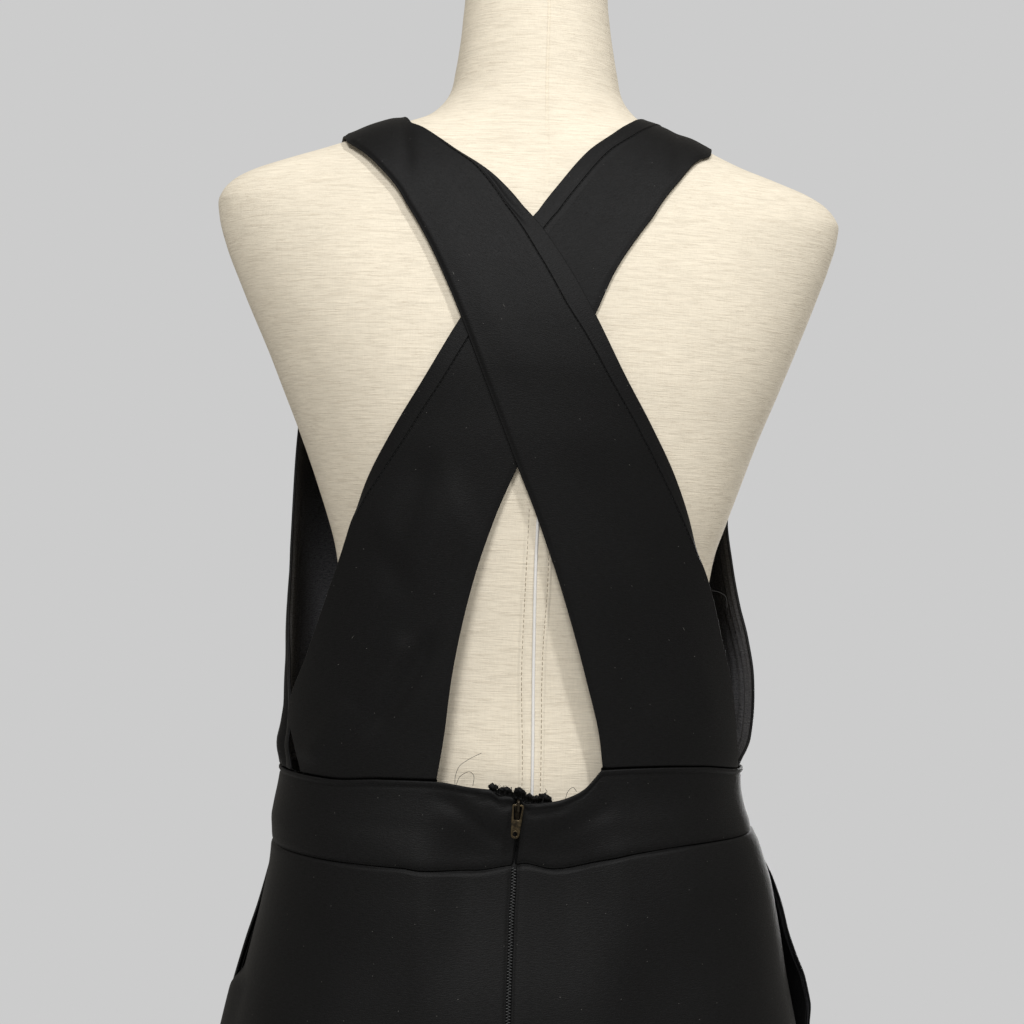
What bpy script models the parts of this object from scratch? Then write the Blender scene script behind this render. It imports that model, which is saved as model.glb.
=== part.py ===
"""Sleeveless romper on a dress form: crossed back straps, a shaped waistband, flared shorts.

Metres, +Z up, the front towards -Y, +X on the wearer's left. The origin is on the floor,
under the middle of the form. Every piece of cloth is a wall of its own, laid on one
surface: the block, a stack of rings from the hem up to the neck.
"""
import math
from collections import namedtuple

import bmesh
import bpy
import numpy as np

CLOTH = .0016        # thickness of the cloth's walls
SEAM = .0003         # gap between two sewn pieces
EASE = .0033         # the block's outer face over the form, at chest and shoulder
STRAP_LIFT = .0030   # the upper strap over the lower one
SHOULDER_Z = 1.385   # above this height the cloth is laid by an angle over the shoulder
SHOULDER_ARC = .060  # path length for one radian of that angle
SHOULDER_SEAM = math.radians(110)   # the strap's end, counted from the back
V_POINT_Z = 1.262    # bottom of the front neckline
CROTCH_Z = .755      # where the four shorts panels meet
SEAT_Z = .860        # above this height the shorts are one ring
HEM_Z = .665
GROOVE = .0016       # half the width of the zip's groove
ZIP_END_Z = .852     # lower end of the zip's groove
MOUTH_TOP_Z, MOUTH_END_Z = .966, .815   # pocket mouth in the side seam
HINGE_Z = 1.0200     # the pull's hinge on the zip slider
PULL_LEAN, PULL_THICK = 5, .0012
POLE_X = .070        # the pole stands in the left leg
POLE_RADIUS = .0125
BASE_RADIUS, BASE_HEIGHT = .170, .018

Ring = namedtuple("Ring", "z half_width side_y back_y front_y back_full front_full")
Edge = namedtuple("Edge", "rise across")
Look = namedtuple("Look", "colour roughness metal")

LOOKS = {
    "black_knit": Look((.012, .012, .013), .85, 0),
    "linen": Look((.78, .74, .66), .9, 0),
    "zip_tape": Look((.02, .02, .021), .8, 0),
    "old_brass": Look((.22, .17, .10), .4, 1),
    "pole_steel": Look((.55, .55, .56), .3, 1),
    "base_paint": Look((.10, .10, .105), .5, 0),
}

FORM = [
    Ring(1.565, .0360, -.016, .020, -.052, 2.0, 2.0),
    Ring(1.563, .0430, -.016, .027, -.059, 2.0, 2.0),
    Ring(1.558, .0455, -.015, .030, -.062, 2.0, 2.0),
    Ring(1.536, .0465, -.014, .033, -.060, 2.0, 2.0),
    Ring(1.511, .0500, -.011, .037, -.058, 2.0, 2.0),
    Ring(1.484, .0545, -.007, .042, -.056, 2.0, 2.0),
    Ring(1.471, .0594, -.005, .046, -.055, 2.0, 2.0),
    Ring(1.460, .0680, -.003, .051, -.055, 2.0, 2.0),
    Ring(1.4545, .0760, -.002, .053, -.055, 2.05, 2.05),
    Ring(1.4483, .0930, -.001, .056, -.056, 2.1, 2.1),
    Ring(1.4403, .1160, 0, .060, -.057, 2.15, 2.15),
    Ring(1.4320, .1410, 0, .064, -.058, 2.2, 2.2),
    Ring(1.424, .1650, 0, .068, -.060, 2.2, 2.2),
    Ring(1.416, .1860, 0, .072, -.062, 2.2, 2.2),
    Ring(1.410, .1960, 0, .075, -.064, 2.2, 2.2),
    Ring(1.403, .2020, 0, .078, -.067, 2.2, 2.2),
    Ring(1.395, .2045, 0, .081, -.070, 2.2, 2.2),
    Ring(1.385, .2035, 0, .085, -.074, 2.2, 2.2),
    Ring(1.365, .1980, 0, .092, -.082, 2.2, 2.2),
    Ring(1.345, .1905, 0, .098, -.090, 2.2, 2.2),
    Ring(1.307, .1755, 0, .105, -.104, 2.2, 2.2),
    Ring(1.280, .1645, 0, .107, -.112, 2.2, 2.2),
    Ring(1.250, .1520, 0, .1065, -.118, 2.2, 2.2),
    Ring(1.216, .1400, 0, .104, -.120, 2.2, 2.2),
    Ring(1.190, .1320, 0, .101, -.116, 2.2, 2.2),
    Ring(1.165, .1260, 0, .0975, -.109, 2.2, 2.2),
    Ring(1.120, .1200, 0, .091, -.097, 2.2, 2.2),
    Ring(1.075, .1170, 0, .087, -.090, 2.2, 2.2),
    Ring(1.030, .1170, 0, .086, -.088, 2.2, 2.2),
    Ring(.990, .1240, 0, .092, -.093, 2.2, 2.2),
    Ring(.950, .1380, 0, .100, -.099, 2.2, 2.2),
    Ring(.910, .1500, 0, .108, -.104, 2.25, 2.25),
    Ring(.870, .1590, 0, .114, -.106, 2.3, 2.3),
    Ring(.840, .1600, 0, .113, -.105, 2.3, 2.3),
    Ring(.825, .1560, 0, .109, -.101, 2.3, 2.3),
    Ring(.817, .1480, 0, .101, -.093, 2.3, 2.3),
    Ring(.814, .1360, 0, .089, -.081, 2.3, 2.3),
]

LOW_CLOTH = [
    Ring(1.250, .1520, 0, .1100, -.1330, 2.2, 2.7),
    Ring(1.216, .1505, 0, .1085, -.1370, 2.2, 3.0),
    Ring(1.165, .1500, 0, .1060, -.1330, 2.2, 3.0),
    Ring(1.120, .1515, 0, .1040, -.1260, 2.2, 2.8),
    Ring(1.075, .1540, 0, .1015, -.1160, 2.2, 2.6),
    Ring(1.048, .1538, 0, .0990, -.1070, 2.2, 2.4),
    Ring(1.030, .1515, 0, .0980, -.1020, 2.2, 2.3),
    Ring(1.005, .1550, 0, .1010, -.1030, 2.2, 2.3),
    Ring(.985, .1585, 0, .1053, -.1045, 2.2, 2.3),
    Ring(.960, .1645, 0, .1090, -.1070, 2.2, 2.3),
    Ring(.933, .1705, 0, .1130, -.1110, 2.2, 2.3),
    Ring(.893, .1795, 0, .1195, -.1150, 2.2, 2.3),
    Ring(.865, .1860, 0, .1228, -.1160, 2.2, 2.3),
    Ring(.835, .1930, 0, .1230, -.1160, 2.2, 2.3),
    Ring(.790, .2020, 0, .1200, -.1160, 2.2, 2.3),
    Ring(.745, .2090, 0, .1150, -.1160, 2.2, 2.3),
    Ring(.650, .2190, 0, .1090, -.1150, 2.2, 2.3),
]

# Edges of the two back straps: height along the path over the shoulder, and x.
TOP_NECK = [
    Edge(1.0409, -.1445), Edge(1.0647, -.1409), Edge(1.0889, -.1368), Edge(1.1235, -.1261),
    Edge(1.1500, -.1177), Edge(1.1760, -.1075), Edge(1.1976, -.1005), Edge(1.2218, -.0902),
    Edge(1.2517, -.0734), Edge(1.2813, -.0552), Edge(1.3199, -.0344), Edge(1.3519, -.0156),
    Edge(1.3797, .0048), Edge(1.4022, .0321), Edge(1.4147, .0539), Edge(1.4275, .0714),
    Edge(1.4361, .0805), Edge(1.4792, .0860), Edge(1.5002, .0865),
]
TOP_ARM = [
    Edge(1.0440, -.0501), Edge(1.0613, -.0475), Edge(1.0981, -.0373), Edge(1.1466, -.0213),
    Edge(1.1946, -.0031), Edge(1.2255, .0102), Edge(1.2600, .0246), Edge(1.2838, .0344),
    Edge(1.3156, .0473), Edge(1.3405, .0582), Edge(1.3678, .0717), Edge(1.3909, .0864),
    Edge(1.4074, .1024), Edge(1.4243, .1170), Edge(1.4305, .1208), Edge(1.4792, .1255),
    Edge(1.5002, .1265),
]
UNDER_NECK = [
    Edge(1.0288, .1361), Edge(1.0534, .1433), Edge(1.0639, .1463), Edge(1.0745, .1452),
    Edge(1.1022, .1361), Edge(1.1356, .1257), Edge(1.1690, .1154), Edge(1.1908, .1093),
    Edge(1.2156, .1015), Edge(1.2464, .0866), Edge(1.2771, .0689), Edge(1.3153, .0472),
    Edge(1.3507, .0238), Edge(1.3803, .0045), Edge(1.3999, -.0141), Edge(1.4173, -.0313),
    Edge(1.4305, -.0490), Edge(1.4448, -.0628), Edge(1.4792, -.0765), Edge(1.5002, -.0790),
]
UNDER_ARM = [
    Edge(1.0338, .0523), Edge(1.0586, .0489), Edge(1.0956, .0454), Edge(1.1447, .0368),
    Edge(1.1937, .0228), Edge(1.2256, .0100), Edge(1.2489, -.0001), Edge(1.2797, -.0143),
    Edge(1.3202, -.0348), Edge(1.3489, -.0475), Edge(1.3755, -.0645), Edge(1.3932, -.0782),
    Edge(1.4049, -.0889), Edge(1.4207, -.1019), Edge(1.4320, -.1125), Edge(1.4792, -.1185),
    Edge(1.5002, -.1195),
]

# Front neckline and armhole, for the wearer's left; the right one is a little narrower.
FRONT_NECK = [
    Edge(V_POINT_Z, 0), Edge(1.300, .0220), Edge(1.345, .0460), Edge(1.385, .0640),
    Edge(1.420, .0770), Edge(1.4583, .0865),
]
FRONT_ARM_X = [Edge(1.385, .1300), Edge(1.420, .1290), Edge(1.4583, .1265)]
FRONT_ARM_Y = [
    Edge(1.030, .040), Edge(1.064, .030), Edge(1.100, .016), Edge(1.140, -.002),
    Edge(1.190, -.024), Edge(1.250, -.046), Edge(1.300, -.060), Edge(1.345, -.0645),
    Edge(1.385, -.0625),
]
RIGHT_NECK, RIGHT_ARM = .914, .945   # the right edges as a share of the left ones
RIGHT_ARM_BACK = .012   # how much shorter the right side reaches towards the back

# The waistband's two edges at the back: height by x. The front ones are straight.
BAND_TOP = [
    Edge(-.150, 1.0362), Edge(-.1139, 1.0420), Edge(-.0865, 1.0430), Edge(-.0492, 1.0420),
    Edge(-.0455, 1.0375), Edge(-.0391, 1.0300), Edge(-.0238, 1.0220), Edge(-.0054, 1.0187),
    Edge(.0100, 1.0232), Edge(.0150, 1.0249), Edge(.0254, 1.0276), Edge(.0523, 1.0326),
    Edge(.0864, 1.0317), Edge(.1174, 1.0290), Edge(.150, 1.0296),
]
BAND_END = [
    Edge(-.1572, .9966), Edge(-.1077, .9950), Edge(-.0745, .9918), Edge(-.0491, .9870),
    Edge(-.0226, .9815), Edge(-.0048, .9845), Edge(.0061, .9825), Edge(.0243, .9797),
    Edge(.0604, .9790), Edge(.0726, .9800), Edge(.1155, .9800), Edge(.1552, .9807),
]
SWAY = [   # the shorts hang a little towards the wearer's right
    Edge(.650, -.0030), Edge(.745, -.0055), Edge(.835, -.0075), Edge(.870, -.0078),
    Edge(.930, -.0080), Edge(.960, -.0070), Edge(.985, -.0030), Edge(1.000, 0), Edge(1.060, 0),
]
CENTRE_BACK = [   # the zip leans towards the wearer's left; measured from the swayed middle
    Edge(.755, .0050), Edge(.860, .0130), Edge(.892, .0132), Edge(.923, .0128),
    Edge(.953, .0115), Edge(.982, .0066), Edge(1.001, .0018), Edge(1.023, .0021),
    Edge(1.050, .0021),
]
GAPE = {1: .0050, -1: .0137}   # how far each pocket's mouth stands open


def curve(rows, key, column):
    """A smooth curve through a table's rows that never overshoots them."""
    ordered = sorted(rows, key=lambda row: getattr(row, key))
    at = np.array([getattr(row, key) for row in ordered])
    to = np.array([getattr(row, column) for row in ordered])
    step = np.diff(at)
    slope = np.diff(to) / step
    tangent = np.zeros(len(at))
    tangent[0], tangent[-1] = slope[0], slope[-1]
    for i in range(1, len(at) - 1):
        if slope[i - 1] * slope[i] > 0:
            first, second = 2 * step[i] + step[i - 1], step[i] + 2 * step[i - 1]
            tangent[i] = (first + second) / (first / slope[i - 1] + second / slope[i])

    def value(x):
        x = np.clip(x, at[0], at[-1])
        i = np.clip(np.searchsorted(at, x) - 1, 0, len(at) - 2)
        t, h = (x - at[i]) / step[i], step[i]
        return ((1 + 2 * t) * (1 - t) ** 2 * to[i] + t * (1 - t) ** 2 * h * tangent[i]
                + t * t * (3 - 2 * t) * to[i + 1] + t * t * (t - 1) * h * tangent[i + 1])
    return value


def mix(a, b, t):
    return a + (b - a) * t


def smooth(t):
    t = np.clip(t, 0, 1)
    return t * t * (3 - 2 * t)


class Block:
    """A stack of rounded rings, as a surface that cloth can be laid on."""

    def __init__(self, rows):
        for column in Ring._fields[1:]:
            setattr(self, column, curve(rows, "z", column))

    def depth(self, back, z):
        side = self.side_y(z)
        return np.where(back, self.back_y(z) - side, side - self.front_y(z))

    def full(self, back, z):
        return np.where(back, self.back_full(z), self.front_full(z))

    def beyond(self, p):
        """Negative inside the block, positive outside."""
        x, y, z = p[..., 0], p[..., 1], p[..., 2]
        back = y > self.side_y(z)
        n = self.full(back, z)
        return (np.abs(x / self.half_width(z)) ** n
                + np.abs((y - self.side_y(z)) / self.depth(back, z)) ** n - 1)

    def ring(self, turn, z):
        """A point by its angle from the middle of the back, positive to the wearer's left."""
        sine, cosine = np.sin(turn), np.cos(turn)
        back = cosine > 0
        n = 2 / self.full(back, z)
        x = self.half_width(z) * np.sign(sine) * np.abs(sine) ** n
        y = self.side_y(z) + self.depth(back, z) * np.sign(cosine) * np.abs(cosine) ** n
        return np.stack(np.broadcast_arrays(x, y, z), axis=-1)

    def turn_at_x(self, x, z, back):
        """The angle away from centre back, or from centre front, at a given x."""
        share = np.clip(np.abs(x) / self.half_width(z), 0, 1)
        return np.sign(x) * np.arcsin(share ** (self.full(back, z) / 2))

    def over(self, x, rise, facing):
        """A point by x and the path's height over the shoulder, facing +1 back or -1 front."""
        x, rise = np.broadcast_arrays(np.asarray(x, float), np.asarray(rise, float))
        angle = np.clip((rise - SHOULDER_Z) / SHOULDER_ARC, 0, None)
        start = np.stack((x, np.zeros_like(x), np.minimum(rise, SHOULDER_Z)), axis=-1)
        way = np.stack((np.zeros_like(x), facing * np.cos(angle), np.sin(angle)), axis=-1)
        near, far = np.zeros(x.shape), np.full(x.shape, .2)
        for _ in range(34):
            half = (near + far) / 2
            inside = self.beyond(start + way * half[..., None]) < 0
            near, far = np.where(inside, half, near), np.where(inside, far, half)
        return start + way * ((near + far) / 2)[..., None]


PANEL_COLUMNS = np.concatenate((np.linspace(0, .40, 7), np.linspace(.40, 1, 10)[1:]))
FORM_BLOCK = Block(FORM)
CLOTH_BLOCK = Block(LOW_CLOTH + [
    Ring(row.z + .8 * EASE, row.half_width + .8 * EASE, row.side_y, row.back_y + .9 * EASE,
         row.front_y - .9 * EASE, row.back_full, row.front_full)
    for row in FORM if row.z > 1.275])

band_top = curve(BAND_TOP, "rise", "across")
centre_back, sway = curve(CENTRE_BACK, "rise", "across"), curve(SWAY, "rise", "across")


def band_top_at(x, back):
    return np.where(back, band_top(x), 1.0330 - .0219 * x)


def band_end_at(x, back):
    """The lower edge runs straight from one column of the shorts to the next."""
    smooth_end = curve(BAND_END, "rise", "across")
    knots = np.concatenate((-X_SHARES[::-1], X_SHARES)) * CLOTH_BLOCK.half_width(.99)
    return np.where(back, np.interp(x, knots, smooth_end(knots)), .9886 - .0510 * x)


def leaned(points):
    """Shift the middle of the back sideways to where the zip lies."""
    share = np.clip(1 - np.abs(points[..., 0]) / .150, 0, 1) ** 1.5
    back = smooth(points[..., 1] / .060)
    points[..., 0] += centre_back(points[..., 2]) * share * back + sway(points[..., 2])
    return points


def strap_place(neck_rows, arm_rows, lifted):
    neck, arm = curve(neck_rows, "rise", "across"), curve(arm_rows, "rise", "across")
    start, end = 1.036, SHOULDER_Z + SHOULDER_ARC * SHOULDER_SEAM - SEAM

    def place(u, v):
        rise = mix(start, end, v)
        x = mix(neck(rise), arm(rise), u)
        foot = band_top_at(x, True) + 2 * SEAM - start
        rise = rise + foot * (1 - smooth((rise - start) / .045))
        x = mix(neck(rise), arm(rise), u)
        points = CLOTH_BLOCK.over(x, rise, 1)
        points = points + (0, .75 * lifted, .65 * lifted) * strap_rise(rise)[..., None]
        return points
    return place


def strap_rise(rise):
    """How far the upper strap stands off: whole over the crossing, none at either end."""
    return smooth((rise - 1.075) / .090) * (1 - smooth((rise - 1.425) / .050))


def front_place(side):
    """One half of the front bodice; side is +1 for the wearer's left."""
    neck = curve(FRONT_NECK, "rise", "across")
    arm_x, arm_y = curve(FRONT_ARM_X, "rise", "across"), curve(FRONT_ARM_Y, "rise", "across")
    neck_share = 1 if side > 0 else RIGHT_NECK
    arm_share = 1 if side > 0 else RIGHT_ARM
    shorter = 0 if side > 0 else RIGHT_ARM_BACK
    start, end = 1.034, SHOULDER_Z + SHOULDER_ARC * (math.pi - SHOULDER_SEAM) - SEAM

    def arm_turn(rise):
        z = np.minimum(rise, SHOULDER_Z)
        y = arm_y(rise) - shorter * (1 - smooth((rise - 1.050) / .060))
        back = y > 0
        share = np.clip(np.abs(y) / CLOTH_BLOCK.depth(back, z), 0, 1)
        share = share ** (CLOTH_BLOCK.full(back, z) / 2)
        low = np.where(back, math.pi / 2 + np.arcsin(share), np.arccos(share))
        high = CLOTH_BLOCK.turn_at_x(arm_x(rise) * arm_share, z, False)
        return mix(low, high, smooth((rise - 1.330) / .055))

    def place(u, v):
        rise = mix(start, end, v)
        z = np.minimum(rise, SHOULDER_Z)
        first = CLOTH_BLOCK.turn_at_x(neck(rise) * neck_share, z, False)
        turn = mix(first, arm_turn(rise), u)
        x = side * CLOTH_BLOCK.ring(math.pi - turn, z)[..., 0]
        foot = band_top_at(x, turn > math.pi / 2) + SEAM - start
        rise = rise + foot * (1 - smooth((rise - start) / .045))
        z = np.minimum(rise, SHOULDER_Z)
        low = CLOTH_BLOCK.ring(math.pi - turn, z)
        high = CLOTH_BLOCK.over(np.abs(low[..., 0]), rise, -1)
        points = np.where((rise > SHOULDER_Z)[..., None], high, low)
        return points * (side, 1, 1)
    return place


def band_place(u, v):
    """The waistband: u is the angle from centre back, v runs from its lower edge up."""
    back = np.cos(u) > 0
    end = band_end_at(CLOTH_BLOCK.ring(u, .990)[..., 0], back)
    top = band_top_at(CLOTH_BLOCK.ring(u, 1.034)[..., 0], back)
    points = CLOTH_BLOCK.ring(u, mix(end, top, v))
    x = points[..., 0]
    groove = np.where(back, GROOVE * (1 - np.abs(x) / CLOTH_BLOCK.half_width(points[..., 2])), 0)
    points[..., 0] = x + np.where(u > 0, groove, -groove)
    return leaned(points)


def gape(z, side):
    """How far the pocket's mouth stands open."""
    share = np.clip((MOUTH_TOP_Z - z) / (MOUTH_TOP_Z - MOUTH_END_Z), 0, 1)
    return np.abs(np.sin(math.pi * share ** .85)) ** 1.3 * GAPE[side]


INNER = .40        # share of a panel's columns that turns round the inside of the leg
MIDDLE = .42       # where, as a share of the half width, that turn ends


def x_share_at(u):
    """Distance from the centre, as a share of the half width, for a panel's column."""
    share = np.clip(u / INNER, 0, 1) * math.pi / 2
    near = MIDDLE * (1 - np.abs(np.cos(share)) ** (1 / 1.1))
    turn = mix(math.asin(MIDDLE ** 1.1), math.pi / 2, np.clip((u - INNER) / (1 - INNER), 0, 1))
    return np.where(u < INNER, near, np.abs(np.sin(turn)) ** (1 / 1.1))


def shorts_point(side, facing, u, z):
    """A point of a shorts panel by its column, from centre seam to side seam, and height."""
    back = np.full(np.shape(z), facing > 0)
    x_share = x_share_at(u)
    curl = np.abs(np.sin(np.clip(u / INNER, 0, 1) * math.pi / 2)) ** (1 / 1.1)
    width, depth = CLOTH_BLOCK.half_width(z), CLOTH_BLOCK.depth(back, z)
    full = CLOTH_BLOCK.full(back, z)
    around = np.clip(1 - np.clip(x_share, 0, 1) ** full, 0, 1) ** (1 / full)
    low = np.clip((z - CROTCH_Z) / (SEAT_Z - CROTCH_Z), 0, 1)
    kept = np.clip(1 - (1 - low) ** 2.4, 0, 1) ** (1 / 2.4)
    pull = np.where(u < INNER, kept + (1 - kept) * curl, 1)
    y = facing * np.maximum(depth * around * pull, SEAM / 2)
    gap = seam_gap(z, facing)
    x = gap + (width - gap) * x_share
    outer = np.clip((u - INNER) / (1 - INNER), 0, 1)
    bulge = gape(z, side) * smooth((outer - .45) / .55) if facing < 0 else 0 * z
    y = y + .35 * np.maximum(bulge - .0035, 0)
    return leaned(np.stack((side * (x + bulge), y, z), axis=-1))


def shorts_place(side, facing):
    """One shorts panel: u from the centre seam and inseam (0) to the side seam (1)."""
    def place(u, v):
        u = np.asarray(u, float)
        x = side * x_share_at(u) * CLOTH_BLOCK.half_width(.990)
        foot = band_end_at(x, np.full(np.shape(u), facing > 0)) - SEAM - .99
        z = mix(centre_path(v), mix(.99, HEM_Z, v), smooth(u / .75))
        return shorts_point(side, facing, u, z + foot * (1 - smooth(v / .30)))
    return place


def seam_gap(z, facing):
    """Half the gap at the centre seam; below the crotch, half the space between the legs."""
    legs = SEAM / 2 + .012 * np.clip((CROTCH_Z - z) / .090, 0, 1) ** .8
    if facing < 0:
        return legs
    groove = smooth((z - ZIP_END_Z) / .012) * GROOVE
    return np.maximum(legs, groove)


def centre_path(v):
    """Height along the centre seam: quick down the seat, slow round the crotch, then the inseam."""
    seat = np.clip(v / .62, 0, 1)
    leg = np.clip((v - .62) / .38, 0, 1)
    return mix(.99, CROTCH_Z, 1 - (1 - seat) ** 1.9) - leg * (CROTCH_Z - HEM_Z)


X_SHARES = x_share_at(PANEL_COLUMNS)


def outward(place, u, v, step=.012):
    """Normals of a placed surface, from its own slopes."""
    along = place(np.clip(u + step, 0, 1) if np.max(u) <= 1 else u + step, v) - place(
        np.clip(u - step, 0, 1) if np.max(u) <= 1 else u - step, v)
    up = place(u, np.clip(v + step, 0, 1)) - place(u, np.clip(v - step, 0, 1))
    normal = np.cross(along, up)
    return normal / np.maximum(np.linalg.norm(normal, axis=-1, keepdims=True), 1e-12)


def add_object(name, bm, look, smooth_shade=True):
    bmesh.ops.recalc_face_normals(bm, faces=bm.faces)
    mesh = bpy.data.meshes.new(name)
    bm.to_mesh(mesh)
    bm.free()
    obj = bpy.data.objects.new(name, mesh)
    parts.objects.link(obj)
    mesh.materials.append(materials[look])
    if smooth_shade:
        mesh.shade_smooth()
        mesh.set_sharp_from_angle(angle=math.radians(40))
    return obj


def wall(name, grids, look, open_start=None):
    """Close a pair of point grids, outer and inner, into one solid."""
    bm = bmesh.new()
    rows, columns = grids[0].shape[:2]
    verts = [[[bm.verts.new(p) for p in row] for row in grid] for grid in grids]
    for r in range(rows - 1):
        for c in range(columns - 1):
            for sheet in verts:
                bm.faces.new((sheet[r][c], sheet[r][c + 1], sheet[r + 1][c + 1],
                              sheet[r + 1][c]))
    rim = [(r, 0) for r in range(rows)] + [(rows - 1, c) for c in range(1, columns)]
    rim += [(r, columns - 1) for r in range(rows - 2, -1, -1)]
    rim += [(0, c) for c in range(columns - 2, 0, -1)]
    for (r, c), (s, d) in zip(rim, rim[1:] + rim[:1]):
        bm.faces.new((verts[0][r][c], verts[0][s][d], verts[1][s][d], verts[1][r][c]))
    return add_object(name, bm, look)


def panel_grids(place, us, vs, flip, thick=CLOTH, below=0.):
    v, u = np.meshgrid(np.asarray(vs, float), np.asarray(us, float), indexing="ij")
    normal = outward(place, u, v) * flip
    points = place(u, v)
    return points - normal * below, points - normal * (below + thick)


def make_strap(name, neck_rows, arm_rows, lifted, flip):
    place = strap_place(neck_rows, arm_rows, lifted)
    top = (SHOULDER_Z - 1.036) / (SHOULDER_Z + SHOULDER_ARC * SHOULDER_SEAM - SEAM - 1.036)
    vs = np.concatenate((np.linspace(0, top, 20), np.linspace(top, 1, 12)[1:]))
    return wall(name, panel_grids(place, np.linspace(0, 1, 6), vs, flip), "black_knit")


def make_front():
    """Both halves of the front, joined below the neckline's point."""
    end = SHOULDER_Z + SHOULDER_ARC * (math.pi - SHOULDER_SEAM) - SEAM
    v_share, top = (V_POINT_Z - 1.034) / (end - 1.034), (SHOULDER_Z - 1.034) / (end - 1.034)
    vs = np.concatenate((np.linspace(0, v_share, 10), np.linspace(v_share, top, 6)[1:],
                         np.linspace(top, 1, 9)[1:]))
    us = np.linspace(0, 1, 10)
    bm = bmesh.new()
    for side in (1, -1):
        outer, inner = panel_grids(front_place(side), us, vs, side)
        low = vs <= v_share + 1e-9
        outer[low, 0, 0] = inner[low, 0, 0] = 0
        verts = [[[bm.verts.new(p) for p in row] for row in grid] for grid in (outer, inner)]
        rows, columns = outer.shape[:2]
        for r in range(rows - 1):
            for c in range(columns - 1):
                for sheet in verts:
                    bm.faces.new((sheet[r][c], sheet[r][c + 1], sheet[r + 1][c + 1],
                                  sheet[r + 1][c]))
        rim = [(r, columns - 1) for r in range(rows)]
        rim += [(rows - 1, c) for c in range(columns - 2, -1, -1)]
        rim += [(r, 0) for r in range(rows - 2, 8, -1)]
        foot = [(0, c) for c in range(columns)]
        for chain in (rim, foot):
            for (r, c), (s, d) in zip(chain, chain[1:]):
                bm.faces.new((verts[0][r][c], verts[0][s][d], verts[1][s][d],
                              verts[1][r][c]))
    bmesh.ops.remove_doubles(bm, verts=bm.verts, dist=.00002)
    return add_object("bodice_front", bm, "black_knit")


def make_band():
    gap = SEAM / 2
    vs = np.linspace(0, 1, 3)
    side_turn = math.pi / 2 - .0011
    knots = np.arcsin(X_SHARES ** 1.1)
    turns = np.sort(np.concatenate((knots, (knots[6:-1] + knots[7:]) / 2)))
    for name, side in (("waistband_back_left", 1), ("waistband_back_right", -1)):
        us = side * np.clip(turns, 1e-6, side_turn)
        wall(name, band_grids(us, vs, side), "black_knit")
    us = np.linspace(math.pi / 2 + .0011, 1.5 * math.pi - .0011, 25)
    wall("waistband_front", band_grids(us, vs, 1), "black_knit")


def band_grids(us, vs, side):
    v, u = np.meshgrid(vs, us, indexing="ij")
    step = .01
    along = band_place(u + step, v) - band_place(u - step, v)
    up = band_place(u, v + step) - band_place(u, v - step)
    normal = np.cross(along, up)
    normal /= np.linalg.norm(normal, axis=-1, keepdims=True)
    points = band_place(u, v)
    middle = points * (1, 1, 0)
    normal *= np.sign(np.sum(normal * middle, axis=-1, keepdims=True))
    return points, points - normal * CLOTH


def make_shorts():
    us = PANEL_COLUMNS
    vs = np.concatenate((np.linspace(0, .62, 13), np.linspace(.62, 1, 5)[1:]))
    for word, side in (("left", 1), ("right", -1)):
        for facing, face in ((1, "back"), (-1, "front")):
            place = shorts_place(side, facing)
            grids = panel_grids(place, us, vs, side * facing)
            wall(f"shorts_{face}_{word}", grids, "black_knit")


def zip_face(z):
    """Centre of the zip at a height: the cloth's outer face there, and its outward normal."""
    z = np.asarray(z, float)
    face = leaned(CLOTH_BLOCK.ring(np.zeros(z.shape), z))
    slope = (CLOTH_BLOCK.back_y(z + .001) - CLOTH_BLOCK.back_y(z - .001)) / .002
    normal = np.stack((0 * z, np.ones(z.shape), -slope), axis=-1)
    return face, normal / np.linalg.norm(normal, axis=-1, keepdims=True)


def make_zip_chain():
    """The chain in its groove and the tape under the cloth, one T-shaped section."""
    heights = np.concatenate((np.linspace(ZIP_END_Z + .0125, .970, 9),
                              (.9765, .9795, .9890, .9925, 1.000, 1.0090)))
    tape, under, low = .011, CLOTH + .0006, CLOTH + .0014
    bm = bmesh.new()
    rings = []
    for z in heights:
        face, normal = zip_face(z)
        half = GROOVE - .0004
        section = [(-half, .0005), (half, .0005), (half, under), (tape, under + .0004),
                   (tape, low + .0004), (0, low), (-tape, low + .0004),
                   (-tape, under + .0004), (-half, under)]
        rings.append([bm.verts.new((face[0] + a, *(face[1:] - normal[1:] * d)))
                      for a, d in section])
    for low_ring, high_ring in zip(rings, rings[1:]):
        for i in range(len(low_ring)):
            j = (i + 1) % len(low_ring)
            bm.faces.new((low_ring[i], low_ring[j], high_ring[j], high_ring[i]))
    bm.faces.new(rings[0])
    bm.faces.new(rings[-1])
    return add_object("zip_chain", bm, "zip_tape", False)


def box_object(name, low, high, look):
    bm = bmesh.new()
    bmesh.ops.create_cube(bm, size=1)
    size, middle = np.subtract(high, low), np.add(high, low) / 2
    for vert in bm.verts:
        vert.co = [a * b + c for a, b, c in zip(vert.co, size, middle)]
    return add_object(name, bm, look, False)


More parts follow.
